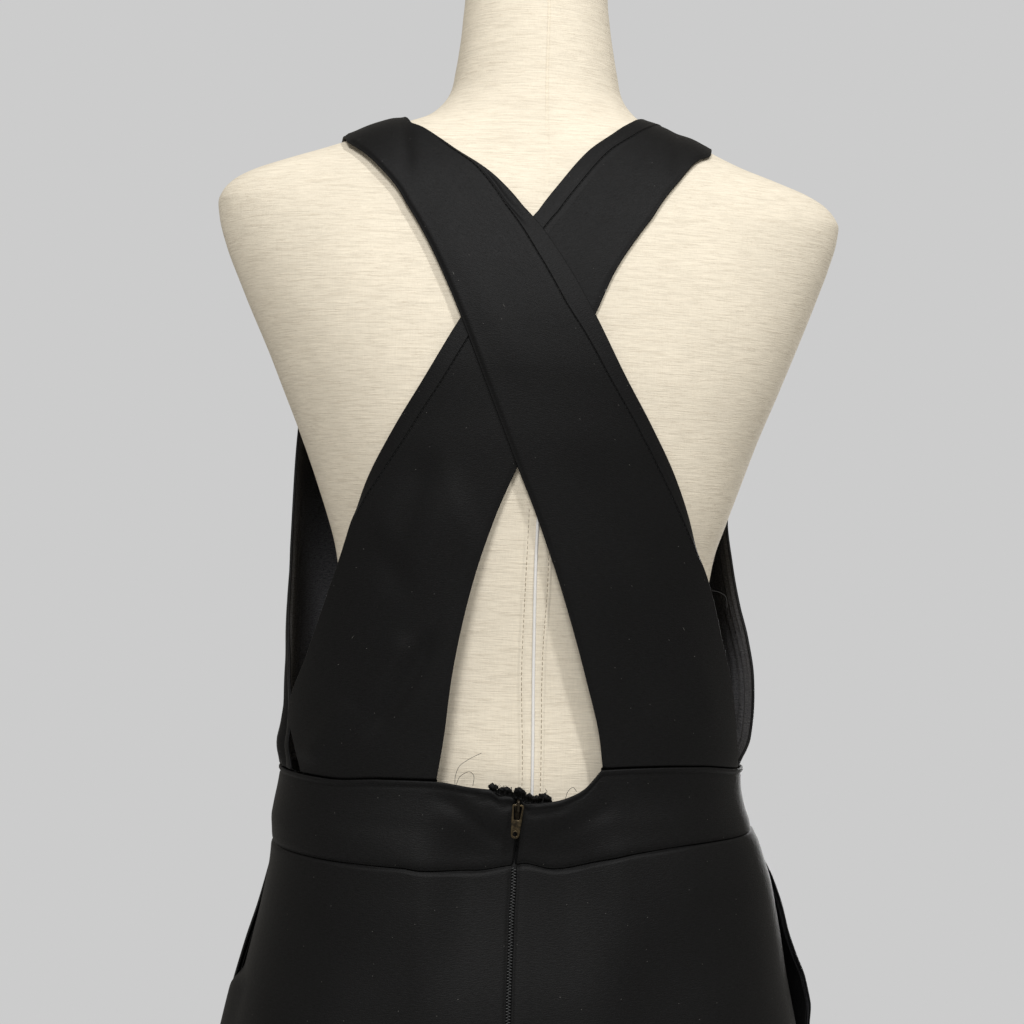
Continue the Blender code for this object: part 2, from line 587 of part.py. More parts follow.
def make_slider():
    """A bridge that holds the pull, a neck through the seam and a body behind it."""
    face, _ = zip_face(HINGE_Z)
    x, y = float(face[0]), float(face[1])
    low, high = HINGE_Z - .0026, HINGE_Z + .0026
    bridge = box_object("zip_slider", (x - .0009, y - .0026, low - .0011),
                        (x + .0009, y + .0054, high + .0011), "old_brass")
    hole = box_object("slider_hole", (x - .002, y + .0012, low), (x + .002, y + .0043, high),
                      "old_brass")
    above = box_object("slider_notch", (x - .002, y - .003, HINGE_Z), (x + .002, y + .0002, high + .002),
                       "old_brass")
    body = box_object("slider_body", (x - .0036, y - .0046, HINGE_Z - .0092),
                      (x + .0036, y - .0024, HINGE_Z - .0004), "old_brass")
    for cutter, operation in ((hole, "DIFFERENCE"), (above, "DIFFERENCE"), (body, "UNION")):
        cut = bridge.modifiers.new(cutter.name, "BOOLEAN")
        cut.operation, cut.object = operation, cutter
        cutter.hide_render, cutter.display_type = True, "WIRE"
        parts.objects.unlink(cutter)
        cutters.objects.link(cutter)
    return bridge


def make_pull():
    """The pull: a flat tab with a slot for the bridge and a round hole near its end."""
    face, _ = zip_face(HINGE_Z)
    data = bpy.data.curves.new("zip_pull", "CURVE")
    data.dimensions, data.fill_mode, data.extrude = "2D", "BOTH", PULL_THICK / 2
    outlines = [rounded(0, -.0102, .0037, .0110, .0012), rounded(0, -.0052, .00165, .0045, .0003)]
    outlines.append([(.0011 * math.cos(a), -.0186 + .0011 * math.sin(a))
                     for a in np.linspace(0, 2 * math.pi, 13)[:-1]])
    for points in outlines:
        spline = data.splines.new("POLY")
        spline.points.add(len(points) - 1)
        spline.use_cyclic_u = True
        for point, (x, y) in zip(spline.points, points):
            point.co = (x, y, 0, 1)
    data.materials.append(materials["old_brass"])
    pull = bpy.data.objects.new("zip_pull", data)
    parts.objects.link(pull)
    pull.location = (float(face[0]), float(face[1]) + .00275, HINGE_Z)
    pull.rotation_euler = (math.radians(90 + PULL_LEAN), 0, 0)
    return pull


def rounded(x, y, half_x, half_y, radius, steps=3):
    """Outline of a rounded oblong."""
    points = []
    for k, (sx, sy) in enumerate(((1, 1), (-1, 1), (-1, -1), (1, -1))):
        for i in range(steps + 1):
            a = math.pi / 2 * (k + i / steps)
            points.append((x + sx * (half_x - radius) + radius * math.cos(a),
                           y + sy * (half_y - radius) + radius * math.sin(a)))
    return points


def make_pocket(word, side):
    """A pocket bag inside the front panel, open along the side seam."""
    skin, under = .0009, CLOTH + .0014
    rows, columns = 9, 6

    def skin_point(outer_side, across, up, depth):
        z = mix(MOUTH_END_Z - .010, MOUTH_TOP_Z + .010, up)
        if outer_side:
            u = INNER + (1 - INNER) * mix(.50, .995, across)
            place = lambda a, b: shorts_point(side, -1, a, b)
        else:
            u = mix(-.50, .080, across)
            place = lambda a, b: leaned(CLOTH_BLOCK.ring(side * (math.pi / 2 - a * .95), b))
        slope_u = place(u + .004, z) - place(u - .004, z)
        slope_z = place(u, z + .002) - place(u, z - .002)
        normal = np.cross(slope_u, slope_z)
        normal = normal / np.linalg.norm(normal, axis=-1, keepdims=True)
        normal = normal * np.sign(normal[..., :1]) * side
        return place(u, z) - normal * depth

    up, across = np.meshgrid(np.linspace(0, 1, rows), np.linspace(0, 1, columns), indexing="ij")
    inset_up, inset_across = mix(.02, .98, up), mix(.05, 1, across)
    deep = under + 3 * skin
    grids = [skin_point(True, across, up, under), skin_point(False, across, up, deep),
             skin_point(True, inset_across, inset_up, under + skin),
             skin_point(False, inset_across, inset_up, deep - skin)]
    bm = bmesh.new()
    verts = [[[bm.verts.new(p) for p in row] for row in grid] for grid in grids]
    for sheet in verts:
        for r in range(rows - 1):
            for c in range(columns - 1):
                bm.faces.new((sheet[r][c], sheet[r][c + 1], sheet[r + 1][c + 1],
                              sheet[r + 1][c]))
    closed = [(0, c) for c in range(columns - 1, -1, -1)] + [(r, 0) for r in range(1, rows)]
    closed += [(rows - 1, c) for c in range(1, columns)]
    mouth = [(r, columns - 1) for r in range(rows)]
    for first, second, chain in ((0, 1, closed), (2, 3, closed), (0, 2, mouth), (1, 3, mouth)):
        for (r, c), (s, d) in zip(chain, chain[1:]):
            bm.faces.new((verts[first][r][c], verts[first][s][d], verts[second][s][d],
                          verts[second][r][c]))
    for r in (0, rows - 1):
        bm.faces.new([verts[k][r][columns - 1] for k in (0, 1, 3, 2)])
    return add_object("pocket_" + word, bm, "black_knit")


def make_form():
    """The torso: one closed stack of rings."""
    heights = sorted({row.z for row in FORM} | {1.4295, 1.4375, 1.446, 1.453, 1.458, 1.4655})
    turns = np.linspace(0, 2 * math.pi, 45)[:-1]
    bm = bmesh.new()
    rings = []
    for z in heights:
        points = FORM_BLOCK.ring(turns, np.full(turns.shape, z))
        rings.append([bm.verts.new(p) for p in points])
    for low, high in zip(rings, rings[1:]):
        for i in range(len(low)):
            j = (i + 1) % len(low)
            bm.faces.new((low[i], low[j], high[j], high[i]))
    bm.faces.new(rings[0])
    bm.faces.new(rings[-1])
    return add_object("form_torso", bm, "linen")


def turned(name, profile, look, x=0., y=0.):
    """A turned piece: a closed half-section, radius and height, swept round."""
    bm = bmesh.new()
    verts = [bm.verts.new((r, 0, z)) for r, z in profile]
    for a, b in zip(verts, verts[1:] + verts[:1]):
        bm.edges.new((a, b))
    bmesh.ops.spin(bm, geom=bm.verts[:] + bm.edges[:], cent=(0, 0, 0), axis=(0, 0, 1),
                   angle=2 * math.pi, steps=40, use_merge=True)
    bmesh.ops.remove_doubles(bm, verts=bm.verts, dist=.00001)
    obj = add_object(name, bm, look)
    obj.location = (x, y, 0)
    return obj


def make_stand():
    r, h = BASE_RADIUS, BASE_HEIGHT
    turned("form_base", [(0, 0), (r, 0), (r, h - .004), (r - .0015, h - .001), (r - .005, h),
                         (0, h)], "base_paint")
    top = FORM[-1].z - SEAM
    turned("form_pole", [(0, h + SEAM), (POLE_RADIUS, h + SEAM), (POLE_RADIUS, top),
                         (0, top)], "pole_steel", POLE_X)
    a, b = POLE_RADIUS + SEAM, .026
    turned("form_collar", [(a, top - .024), (a + .006, top - .024), (b, top - .018),
                           (b, top), (a, top)], "base_paint", POLE_X)
    turned("form_socket", [(a, h + SEAM), (b + .004, h + SEAM), (b + .004, h + .006),
                           (a + .006, h + .026), (a, h + .026)], "base_paint", POLE_X)


def reset():
    for obj in list(bpy.data.objects):
        bpy.data.objects.remove(obj, do_unlink=True)
    made = bpy.data.collections.new("romper_on_form")
    cut = bpy.data.collections.new("cutters")
    for collection in (made, cut):
        bpy.context.scene.collection.children.link(collection)
    looks = {}
    for name, look in LOOKS.items():
        material = bpy.data.materials.new(name)
        material.use_nodes = True
        shader = material.node_tree.nodes["Principled BSDF"]
        shader.inputs["Base Color"].default_value = (*look.colour, 1)
        shader.inputs["Roughness"].default_value = look.roughness
        shader.inputs["Metallic"].default_value = look.metal
        looks[name] = material
    return made, cut, looks


parts, cutters, materials = reset()
make_form()
make_stand()
make_front()
make_strap("strap_left", TOP_NECK, TOP_ARM, STRAP_LIFT, 1)
make_strap("strap_right", UNDER_NECK, UNDER_ARM, 0., -1)
make_band()
make_shorts()
make_pocket("left", 1)
make_pocket("right", -1)
make_zip_chain()
make_slider()
make_pull()
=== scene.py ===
"""Cloth, seams, zip and studio for a romper on its dress form.

Metres, +Z up, the front towards -Y, +X on the wearer's left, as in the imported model. Each
piece of cloth is a thin shell, laid on the same surface as its solid and worked finer.
"""

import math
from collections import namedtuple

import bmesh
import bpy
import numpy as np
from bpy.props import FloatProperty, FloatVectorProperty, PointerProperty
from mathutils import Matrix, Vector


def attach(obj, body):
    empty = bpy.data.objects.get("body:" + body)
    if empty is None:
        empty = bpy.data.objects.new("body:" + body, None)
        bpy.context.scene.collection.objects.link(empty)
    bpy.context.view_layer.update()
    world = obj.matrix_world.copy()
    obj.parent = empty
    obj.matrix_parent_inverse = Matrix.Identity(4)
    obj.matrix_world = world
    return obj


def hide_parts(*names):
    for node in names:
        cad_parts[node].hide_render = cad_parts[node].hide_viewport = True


bl_info = {
    "name": "Crossed-back romper on a dress form",
    "version": (1, 0, 0),
    "blender": (4, 5, 0),
    "location": "3D View > Sidebar > Romper",
    "description": "Dresses a packed dress form with a black knit romper, its seams and its zip",
    "category": "Add Mesh",
}

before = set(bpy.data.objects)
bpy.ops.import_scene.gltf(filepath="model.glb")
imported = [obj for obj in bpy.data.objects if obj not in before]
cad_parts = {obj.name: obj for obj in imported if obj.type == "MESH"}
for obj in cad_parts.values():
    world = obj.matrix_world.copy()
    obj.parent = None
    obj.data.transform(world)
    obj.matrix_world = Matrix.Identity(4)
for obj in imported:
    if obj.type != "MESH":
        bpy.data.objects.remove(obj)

# Gaps: between two pieces' edges, between form and cloth, under the upper strap, where an
# edge passes behind the waistband, and beside the zip in its upper and lower parts.
SEAM = .0003
EASE = .0033
STRAP_LIFT = .0030
TUCK = .0022
GROOVE, GROOVE_LOW = .0016, .0004
# Stitches lie a little inside a hem's edge and deep; a pocket has two skins, set inwards.
STITCH_IN, STITCH_SINK = .0001, .00030
POCKET_SKIN, POCKET_UNDER, POCKET_APART = .0008, .0016 + .0014, .0026

# Heights, from the shoulder down: a path over it follows an arc from SHOULDER_Z. Each foot is
# the level where a piece starts, drawn to the waistband's edge over FOOT_REACH.
SHOULDER_Z = 1.385
SHOULDER_ARC = .060
SHOULDER_SEAM = math.radians(110)
STRAP_FOOT, STRAP_END = 1.036, SHOULDER_Z + SHOULDER_ARC * SHOULDER_SEAM - SEAM
BODICE_FOOT, BODICE_END = 1.034, SHOULDER_Z + SHOULDER_ARC * (math.pi - SHOULDER_SEAM) - SEAM
FOOT_REACH = .045
CROSSING_FOOT, CROSSING_TOP = (1.075, .090), (1.425, .050)
V_POINT_Z = 1.262
FRONT_BAND_TOP, FRONT_BAND_END = (1.0330, -.0219), (.9886, -.0510)    # level, slope by x
BAND_LOW_Z, BAND_TOP_Z = .990, 1.034
HOLLOW_Z, HOLLOW_DEPTH = .985, .0092
SHORTS_TOP = .99
SEAT_Z = .860
CROTCH_Z = .755
HEM_Z = .665
ZIP_END_Z = .852
MOUTH_TOP_Z, MOUTH_END_Z = .966, .815
TORSO_LOW_Z, TORSO_TOP_Z = .8140, 1.5655
FORM_FROM_Z = 1.275     # the cloth follows the form's rings from here up
BACK_BLEND = .060       # how far behind the axis a shift of the back is whole
FINE_TURN = .24         # half the angle of the torso's finer columns
SEAM_HALF_TURN = .0011

# Columns of a shorts panel: its inner part, that part's share of the width, and its curl.
INNER, MIDDLE, CURL = .40, .42, 1.1

# The zip, the placket and the stand.
HINGE_X, HINGE_Y, HINGE_Z = .002085, .101432, 1.0200
BAR_OUT = .00275        # from the arch's middle to the pull's bar
PULL_LEAN, PULL_ASKEW = 5, 5
TAPE_HALF = .0105
PLACKET_IN = .0022
POLE_X = .070
POLE_RADIUS = .0125
BASE_RADIUS, BASE_HEIGHT = .170, .018

# Colours of the small trim, and the studio: each light's place, what it faces and its size.
BLACK_THREAD, GREY_THREAD, LINEN_THREAD = (.007, .007, .0075), (.07, .07, .07), (.33, .27, .19)
TEETH, TEETH_DARK = (.026, .028, .029), (.009, .0095, .010)
LIGHTS = {
    "key": ((-1.35, 2.25, 4.10), (0, .09, 1.2), .40),
    "second": ((.80, 2.75, 3.60), (0, .09, 1.2), 1.10),
    "front": ((-.9, -2.3, 1.0), (0, 0, 1.0), 1.2),
}
FLOOR_RADIUS = 2.4
BODY = "romper_and_form"    # every piece but the pull rides on it

# Tables of plain pairs run by height, unless their comment says otherwise.
Ring = namedtuple("Ring", "z half_width back_y front_y side_y back_full front_full",
                  defaults=(0, 2.2, 2.2))
Fold = namedtuple("Fold", "height width path")   # all in millimetres; the path is (x, z)

FORM = [
    Ring(1.565, .0360, .020, -.052, -.016, 2, 2), Ring(1.563, .0430, .027, -.059, -.016, 2, 2),
    Ring(1.558, .0455, .030, -.062, -.015, 2, 2), Ring(1.536, .0465, .033, -.060, -.014, 2, 2),
    Ring(1.511, .0500, .037, -.058, -.011, 2, 2), Ring(1.484, .0545, .042, -.056, -.007, 2, 2),
    Ring(1.471, .0594, .046, -.055, -.005, 2, 2), Ring(1.460, .0680, .051, -.055, -.003, 2, 2),
    Ring(1.4545, .0760, .053, -.055, -.002, 2.05, 2.05),
    Ring(1.4483, .0930, .056, -.056, -.001, 2.1, 2.1),
    Ring(1.4403, .1160, .060, -.057, 0, 2.15, 2.15), Ring(1.4320, .1410, .064, -.058),
    Ring(1.424, .1650, .068, -.060), Ring(1.416, .1860, .072, -.062),
    Ring(1.410, .1960, .075, -.064), Ring(1.403, .2020, .078, -.067),
    Ring(1.395, .2045, .081, -.070), Ring(1.385, .2035, .085, -.074),
    Ring(1.365, .1980, .092, -.082), Ring(1.345, .1905, .098, -.090),
    Ring(1.307, .1755, .105, -.104), Ring(1.280, .1645, .107, -.112),
    Ring(1.250, .1520, .1065, -.118), Ring(1.216, .1400, .104, -.120),
    Ring(1.190, .1320, .101, -.116), Ring(1.165, .1260, .0975, -.109),
    Ring(1.120, .1200, .091, -.097), Ring(1.075, .1170, .087, -.090),
    Ring(1.030, .1170, .086, -.088), Ring(.990, .1240, .092, -.093),
    Ring(.950, .1380, .100, -.099), Ring(.910, .1500, .108, -.104, 0, 2.25, 2.25),
    Ring(.870, .1590, .114, -.106, 0, 2.3, 2.3), Ring(.840, .1600, .113, -.105, 0, 2.3, 2.3),
    Ring(.825, .1560, .109, -.101, 0, 2.3, 2.3), Ring(.817, .1480, .101, -.093, 0, 2.3, 2.3),
    Ring(.814, .1360, .089, -.081, 0, 2.3, 2.3),
]

LOW_CLOTH = [
    Ring(1.250, .1520, .1100, -.1330, 0, 2.2, 2.7), Ring(1.216, .1505, .1085, -.1370, 0, 2.2, 3),
    Ring(1.165, .1500, .1060, -.1330, 0, 2.2, 3), Ring(1.120, .1515, .1040, -.1260, 0, 2.2, 2.8),
    Ring(1.075, .1540, .1015, -.1160, 0, 2.2, 2.6), Ring(1.048, .1538, .0990, -.1070, 0, 2.2, 2.4),
    Ring(1.030, .1515, .0980, -.1020, 0, 2.2, 2.3), Ring(1.005, .1550, .1010, -.1030, 0, 2.2, 2.3),
    Ring(.985, .1585, .1053, -.1045, 0, 2.2, 2.3), Ring(.960, .1645, .1090, -.1070, 0, 2.2, 2.3),
    Ring(.933, .1705, .1130, -.1110, 0, 2.2, 2.3), Ring(.893, .1795, .1195, -.1150, 0, 2.2, 2.3),
    Ring(.865, .1860, .1228, -.1160, 0, 2.2, 2.3), Ring(.835, .1930, .1230, -.1160, 0, 2.2, 2.3),
    Ring(.790, .2020, .1200, -.1160, 0, 2.2, 2.3), Ring(.745, .2090, .1150, -.1160, 0, 2.2, 2.3),
    Ring(.650, .2190, .1090, -.1150, 0, 2.2, 2.3),
]

# Edges of the two back straps: height along the path over the shoulder, and x.
TOP_NECK = [
    (1.0409, -.1445), (1.0647, -.1409), (1.0889, -.1368), (1.1235, -.1261), (1.1500, -.1177),
    (1.1760, -.1075), (1.1976, -.1005), (1.2218, -.0902), (1.2517, -.0734), (1.2813, -.0552),
    (1.3199, -.0344), (1.3519, -.0156), (1.3797, .0048), (1.4022, .0321), (1.4147, .0539),
    (1.4275, .0714), (1.4361, .0805), (1.4792, .0860), (1.5002, .0865),
]
TOP_ARM = [
    (1.0440, -.0501), (1.0613, -.0475), (1.0981, -.0373), (1.1466, -.0213), (1.1946, -.0031),
    (1.2255, .0102), (1.2600, .0246), (1.2838, .0344), (1.3156, .0473), (1.3405, .0582),
    (1.3678, .0717), (1.3909, .0864), (1.4074, .1024), (1.4243, .1170), (1.4305, .1208),
    (1.4792, .1255), (1.5002, .1265),
]
UNDER_NECK = [
    (1.0288, .1361), (1.0534, .1433), (1.0639, .1463), (1.0745, .1452), (1.1022, .1361),
    (1.1356, .1257), (1.1690, .1154), (1.1908, .1093), (1.2156, .1015), (1.2464, .0866),
    (1.2771, .0689), (1.3153, .0472), (1.3507, .0238), (1.3803, .0045), (1.3999, -.0141),
    (1.4173, -.0313), (1.4305, -.0490), (1.4448, -.0628), (1.4792, -.0765), (1.5002, -.0790),
]
UNDER_ARM = [
    (1.0338, .0523), (1.0586, .0489), (1.0956, .0454), (1.1447, .0368), (1.1937, .0228),
    (1.2256, .0100), (1.2489, -.0001), (1.2797, -.0143), (1.3202, -.0348), (1.3489, -.0475),
    (1.3755, -.0645), (1.3932, -.0782), (1.4049, -.0889), (1.4207, -.1019), (1.4320, -.1125),
    (1.4792, -.1185), (1.5002, -.1195),
]

# Front neckline and armhole, for the wearer's left; the right one is a little narrower.
FRONT_NECK = [
    (V_POINT_Z, 0), (1.300, .0220), (1.345, .0460), (1.385, .0640), (1.420, .0770),
    (1.4583, .0865),
]
FRONT_ARM_X = [(1.385, .1300), (1.420, .1290), (1.4583, .1265)]
FRONT_ARM_Y = [
    (1.030, .040), (1.064, .030), (1.100, .016), (1.140, -.002), (1.190, -.024), (1.250, -.046),
    (1.300, -.060), (1.345, -.0645), (1.385, -.0625),
]
RIGHT_NECK, RIGHT_ARM, RIGHT_ARM_BACK = .914, .945, .012

# The waistband's two edges at the back: height by x. The front ones are straight.
BAND_TOP = [
    (-.150, 1.0362), (-.1139, 1.0420), (-.0865, 1.0430), (-.0492, 1.0420), (-.0455, 1.0375),
    (-.0391, 1.0303), (-.0300, 1.0253), (-.0235, 1.0231), (-.0186, 1.0222), (-.0149, 1.0218),
    (-.0094, 1.0210), (-.0045, 1.0208), (-.0005, 1.0225), (.0035, 1.0250), (.0062, 1.0254),
    (.0101, 1.0249), (.0129, 1.0266), (.0162, 1.0290), (.0205, 1.0293), (.0254, 1.0296),
    (.0523, 1.0326), (.0864, 1.0317), (.1174, 1.0290), (.150, 1.0296),
]
BAND_END = [
    (-.1572, .9966), (-.1077, .9950), (-.0745, .9918), (-.0491, .9870), (-.0226, .9815),
    (-.0048, .9845), (.0061, .9825), (.0243, .9797), (.0604, .9790), (.0726, .9800),
    (.1155, .9800), (.1552, .9807),
]
# Sideways shifts by height: of the whole low part, and of the centre back.
SWAY = [
    (.650, -.0030), (.745, -.0055), (.835, -.0075), (.870, -.0078), (.930, -.0080), (.960, -.0070),
    (.985, -.0030), (1.000, 0), (1.060, 0),
]
CENTRE_BACK = [
    (.755, .0050), (.860, .0130), (.892, .0132), (.923, .0128), (.953, .0115), (.982, .0066),
    (1.001, .0018), (1.023, .0021), (1.050, .0021),
]
# How far each pocket's mouth stands open, and the flare of the wearer's right hip, by height.
GAPE = {
    1: [(.815, 0), (.834, .0022), (.858, .0043), (.885, .0050),
        (.912, .0042), (.938, .0021), (.966, 0)],
    -1: [(.815, 0), (.840, .0060), (.864, .0111), (.880, .0144),
         (.895, .0141), (.911, .0107), (.927, .0079), (.943, .0067),
         (.959, .0043), (.975, .0011), (.984, 0)],
}
FLARE = [
    (.900, 0), (.927, .0010), (.943, .0016), (.959, .0024), (.975, .0035), (.989, .0044),
    (1.000, .0028), (1.012, .0006), (1.020, 0),
]

# How far each side of the bodice stands off its block, by height; + is outwards.
SIDE_SWELL = {
    1: [(1.030, 0), (1.044, -.0010), (1.056, -.0034), (1.075, -.0052),
        (1.095, -.0046), (1.118, -.0022), (1.150, -.0006), (1.170, 0)],
    -1: [(1.034, -.0034), (1.042, -.0018), (1.055, .0026), (1.075, .0042),
         (1.095, .0044),
         (1.120, .0022), (1.140, -.0012), (1.170, -.0046), (1.195, -.0066),
         (1.212, -.0040), (1.240, 0)],
}

# Width of the hem on each strap's neck edge, by height, against the bodice's.
OVER_HEM = [
    (1.160, .12), (1.176, .35), (1.194, .77), (1.212, 1.07), (1.230, 1.22), (1.267, 1.22),
    (1.291, 1.27), (1.303, 1.36), (1.327, 1.65), (1.351, 1.60), (1.375, 1.38), (1.393, .91),
    (1.410, .35), (1.425, .14),
]
UNDER_HEM = [
    (1.188, .12), (1.205, .55), (1.218, .95), (1.232, 1.18), (1.250, 1.30), (1.385, 1.36),
]

# The form leans and narrows against its block, and its shoulders drop, by height.
FORM_SHIFT = [
    (1.030, -.0043), (1.175, -.0043), (1.194, -.0046), (1.213, -.0046), (1.253, -.0040),
    (1.293, -.0036), (1.332, -.0023), (1.372, -.0013), (1.410, -.0013), (1.450, -.0026),
    (1.471, -.0026), (1.500, -.0023), (1.530, -.0015), (1.565, -.0010),
]
FORM_SLIM = [
    (1.100, 0), (1.150, .0026), (1.175, .0030), (1.194, .0020), (1.213, .0013), (1.253, .0007),
    (1.293, .0010), (1.332, .0003), (1.372, 0), (1.440, 0), (1.471, .0012), (1.490, -.0003),
    (1.510, -.0003), (1.530, -.0012), (1.565, -.0012),
]

# Distances from an edge, in millimetres, where a fine grid has a line.
EDGE_LANES = (0, .35, .8, 1.4, 2.2, 3.2, 4.4)
HEM_LANES = (0, .35, .8, 1.4, 2.4, 3.8, 5.2, 6.2, 6.8, 7.4, 8.0, 8.35, 8.6, 8.8, 9.0, 9.25, 9.6,
             10.1, 10.9, 12.2)
TURN_UP_LANES = (0, .4, .9, 1.6, 3, 5, 8, 11, 14, 17, 19.3, 20.5, 21.1, 21.45, 21.7, 21.9, 22.1,
                 22.4, 23, 24.5)

TOP_FOLDS = [
    Fold(-1.1, 1.5, [(43, 1417), (31, 1405), (21, 1391), (12, 1381), (3, 1371)]),
    Fold(.7, 2.2, [(36, 1414), (24, 1402), (15, 1391), (4, 1378)]),
    Fold(.8, 9, [(66, 1400), (50, 1360), (28, 1318), (2, 1270)]),
    Fold(-1.2, 14, [(-20, 1250), (-48, 1190), (-70, 1120), (-86, 1060)]),
    Fold(1.0, 10, [(-92, 1150), (-112, 1100), (-124, 1056)]),
    Fold(-1.5, 5, [(80, 1396), (83, 1420), (85, 1440), (85, 1462), (85, 1480)]),
    Fold(-2.0, 11, [(114, 1402), (119, 1424), (121, 1440), (122, 1462), (122, 1480)]),
]
UNDER_FOLDS = [
    Fold(-2.4, 6, [(55, 1128), (64, 1108), (73, 1091), (85, 1072), (101, 1053)]),
    Fold(1.8, 7, [(104, 1084), (121, 1057), (134, 1034)]),
    Fold(1.6, 8, [(70, 1125), (86, 1098), (101, 1075)]),
    Fold(-1.6, 10, [(62, 1240), (76, 1190), (84, 1140)]),
    Fold(-.5, 10, [(-60, 1415), (-50, 1390), (-30, 1362)]),
    Fold(-.8, 6, [(-84, 1402), (-90, 1424), (-93, 1440), (-94, 1462), (-94, 1480)]),
    Fold(-1.5, 9, [(-108, 1402), (-113, 1424), (-115, 1440), (-116, 1462), (-116, 1480)]),
    Fold(2.4, 26, [(30, 1200), (60, 1188), (92, 1166)]),
]
BAND_FOLDS = [
    Fold(.7, 1.6, [(30, 1027.4), (23, 1026.6), (17, 1026.2), (12, 1022.4), (6.5, 1023.8),
                   (2, 1024)]),
    Fold(-.8, 1.9, [(32, 1024), (24, 1023), (17.5, 1022.6), (12, 1018.8), (6, 1019.6),
                    (2, 1020)]),
    Fold(.7, 1.5, [(0, 1021.4), (-3.4, 1020.6), (-6, 1017.8), (-12, 1018.6), (-23, 1020.6),
                   (-34, 1026)]),
    Fold(-.7, 1.9, [(0, 1018), (-3.4, 1017), (-6.4, 1014.4), (-13, 1015), (-25, 1017.4),
                    (-38, 1023)]),
    Fold(-1.6, 5, [(60, 1026), (42, 1019), (30, 1010), (16, 1000), (6, 996)]),
    Fold(-1.2, 6, [(-62, 1024), (-46, 1014), (-30, 1006), (-12, 1000)]),
    Fold(.5, 12, [(-60, 1004), (-100, 1008), (-140, 1010)]),
    Fold(.5, 12, [(60, 990), (100, 994), (140, 1000)]),
]
SHORTS_FOLDS = {1: [
    Fold(.45, 1.1, [(-5, 979), (-5.4, 960), (-6, 930), (-6.7, 895), (-7, 870)]),
    Fold(-.35, 1.6, [(-8, 979), (-8.6, 950), (-9.4, 915), (-10, 880)]),
    Fold(.25, 1.2, [(17, 978), (16.4, 940), (15.8, 900), (15.4, 866)]),
    Fold(-.3, 1.6, [(24, 980), (24, 960), (22, 930)]),
    Fold(-2.2, 26, [(60, 955), (70, 900), (84, 830), (96, 760), (104, 680)]),
    Fold(1.6, 22, [(110, 930), (122, 850), (132, 760), (140, 680)]),
    Fold(-2.0, 26, [(-70, 950), (-82, 880), (-96, 800), (-108, 690)]),
    Fold(1.8, 20, [(-120, 940), (-134, 860), (-146, 760), (-152, 690)]),
], -1: [
    Fold(-2.0, 22, [(50, 940), (62, 860), (76, 760), (84, 680)]),
    Fold(2.0, 20, [(92, 940), (108, 850), (122, 750), (130, 680)]),
    Fold(-2.0, 22, [(-56, 940), (-68, 860), (-80, 760), (-88, 680)]),
    Fold(2.0, 20, [(-100, 940), (-116, 850), (-128, 750), (-136, 680)]),
    Fold(-1.4, 9, [(26, 800), (44, 782), (66, 772)]),
    Fold(-1.4, 9, [(-26, 800), (-46, 784), (-68, 776)]),
]}
BODICE_FOLDS = [
    Fold(-2.2, 10, [(34, 1040), (42, 1080), (56, 1125), (66, 1165)]),
    Fold(2.0, 9, [(54, 1040), (64, 1082), (80, 1120)]),
    Fold(-1.8, 9, [(76, 1040), (88, 1080), (102, 1120)]),
    Fold(1.6, 8, [(96, 1042), (108, 1082), (118, 1130)]),
    Fold(-2.2, 10, [(-30, 1040), (-40, 1084), (-55, 1130), (-64, 1160)]),
    Fold(1.8, 9, [(-52, 1040), (-64, 1086), (-78, 1124)]),
    Fold(-1.8, 9, [(-74, 1042), (-86, 1086), (-100, 1128)]),
    Fold(1.5, 8, [(-98, 1042), (-108, 1090), (-116, 1136)]),
    Fold(1.2, 14, [(8, 1230), (38, 1180), (52, 1140)]),
    Fold(-1.2, 10, [(58, 1260), (92, 1210), (120, 1180)]),
    Fold(-1.2, 10, [(-54, 1262), (-90, 1214), (-116, 1186)]),
]

# Loose ends of thread: places in millimetres.
LOOSE_THREADS = {
    "left_long": [(40.5, 96.0, 1028), (40.8, 96.6, 1036), (38.6, 96.0, 1042.5),
                  (34.8, 95.4, 1045.6), (30.2, 95.0, 1048.4), (25.2, 95.6, 1051)],
    "left_loop": [(40.2, 96.4, 1030), (38.6, 97.0, 1035.6), (35.6, 97.4, 1038.4),
                  (32, 97, 1039.6), (29.4, 96.6, 1036.8), (29.8, 96.4, 1031)],
    "middle_tuft": [(-13, 98.4, 1022), (-13.6, 99.2, 1026.4), (-15.4, 99.6, 1028.6),
                    (-14.2, 98.6, 1030.6)],
    "right_loop": [(-27, 96.6, 1024), (-28.4, 97.6, 1029), (-31.4, 97.8, 1031.6),
                   (-33.8, 97.2, 1029)],
    "strap_stray": [(-117.2, 75.4, 1153.6), (-121.6, 72.2, 1152.8), (-126.6, 68.4, 1150.4),
                    (-128.2, 66.8, 1146.4), (-128.4, 66.8, 1143.0)],
}

# The form's own seams, as x by height: centre back, the placket's two stitch lines, its cord.
FORM_SEAM = [(1.20, -.0052), (1.392, -.0051), (1.461, -.0055), (1.515, -.0062)]
PLACKET_LEFT = [(.82, .0010), (1.034, .0013), (1.111, .0041), (1.189, .0035)]
PLACKET_RIGHT = [(.82, -.0150), (1.034, -.0145), (1.112, -.0130), (1.149, -.0141)]
FORM_CORD = [
    (.83, -.0080), (1.030, -.0072), (1.112, -.0052), (1.175, -.0040), (1.205, -.0044),
]
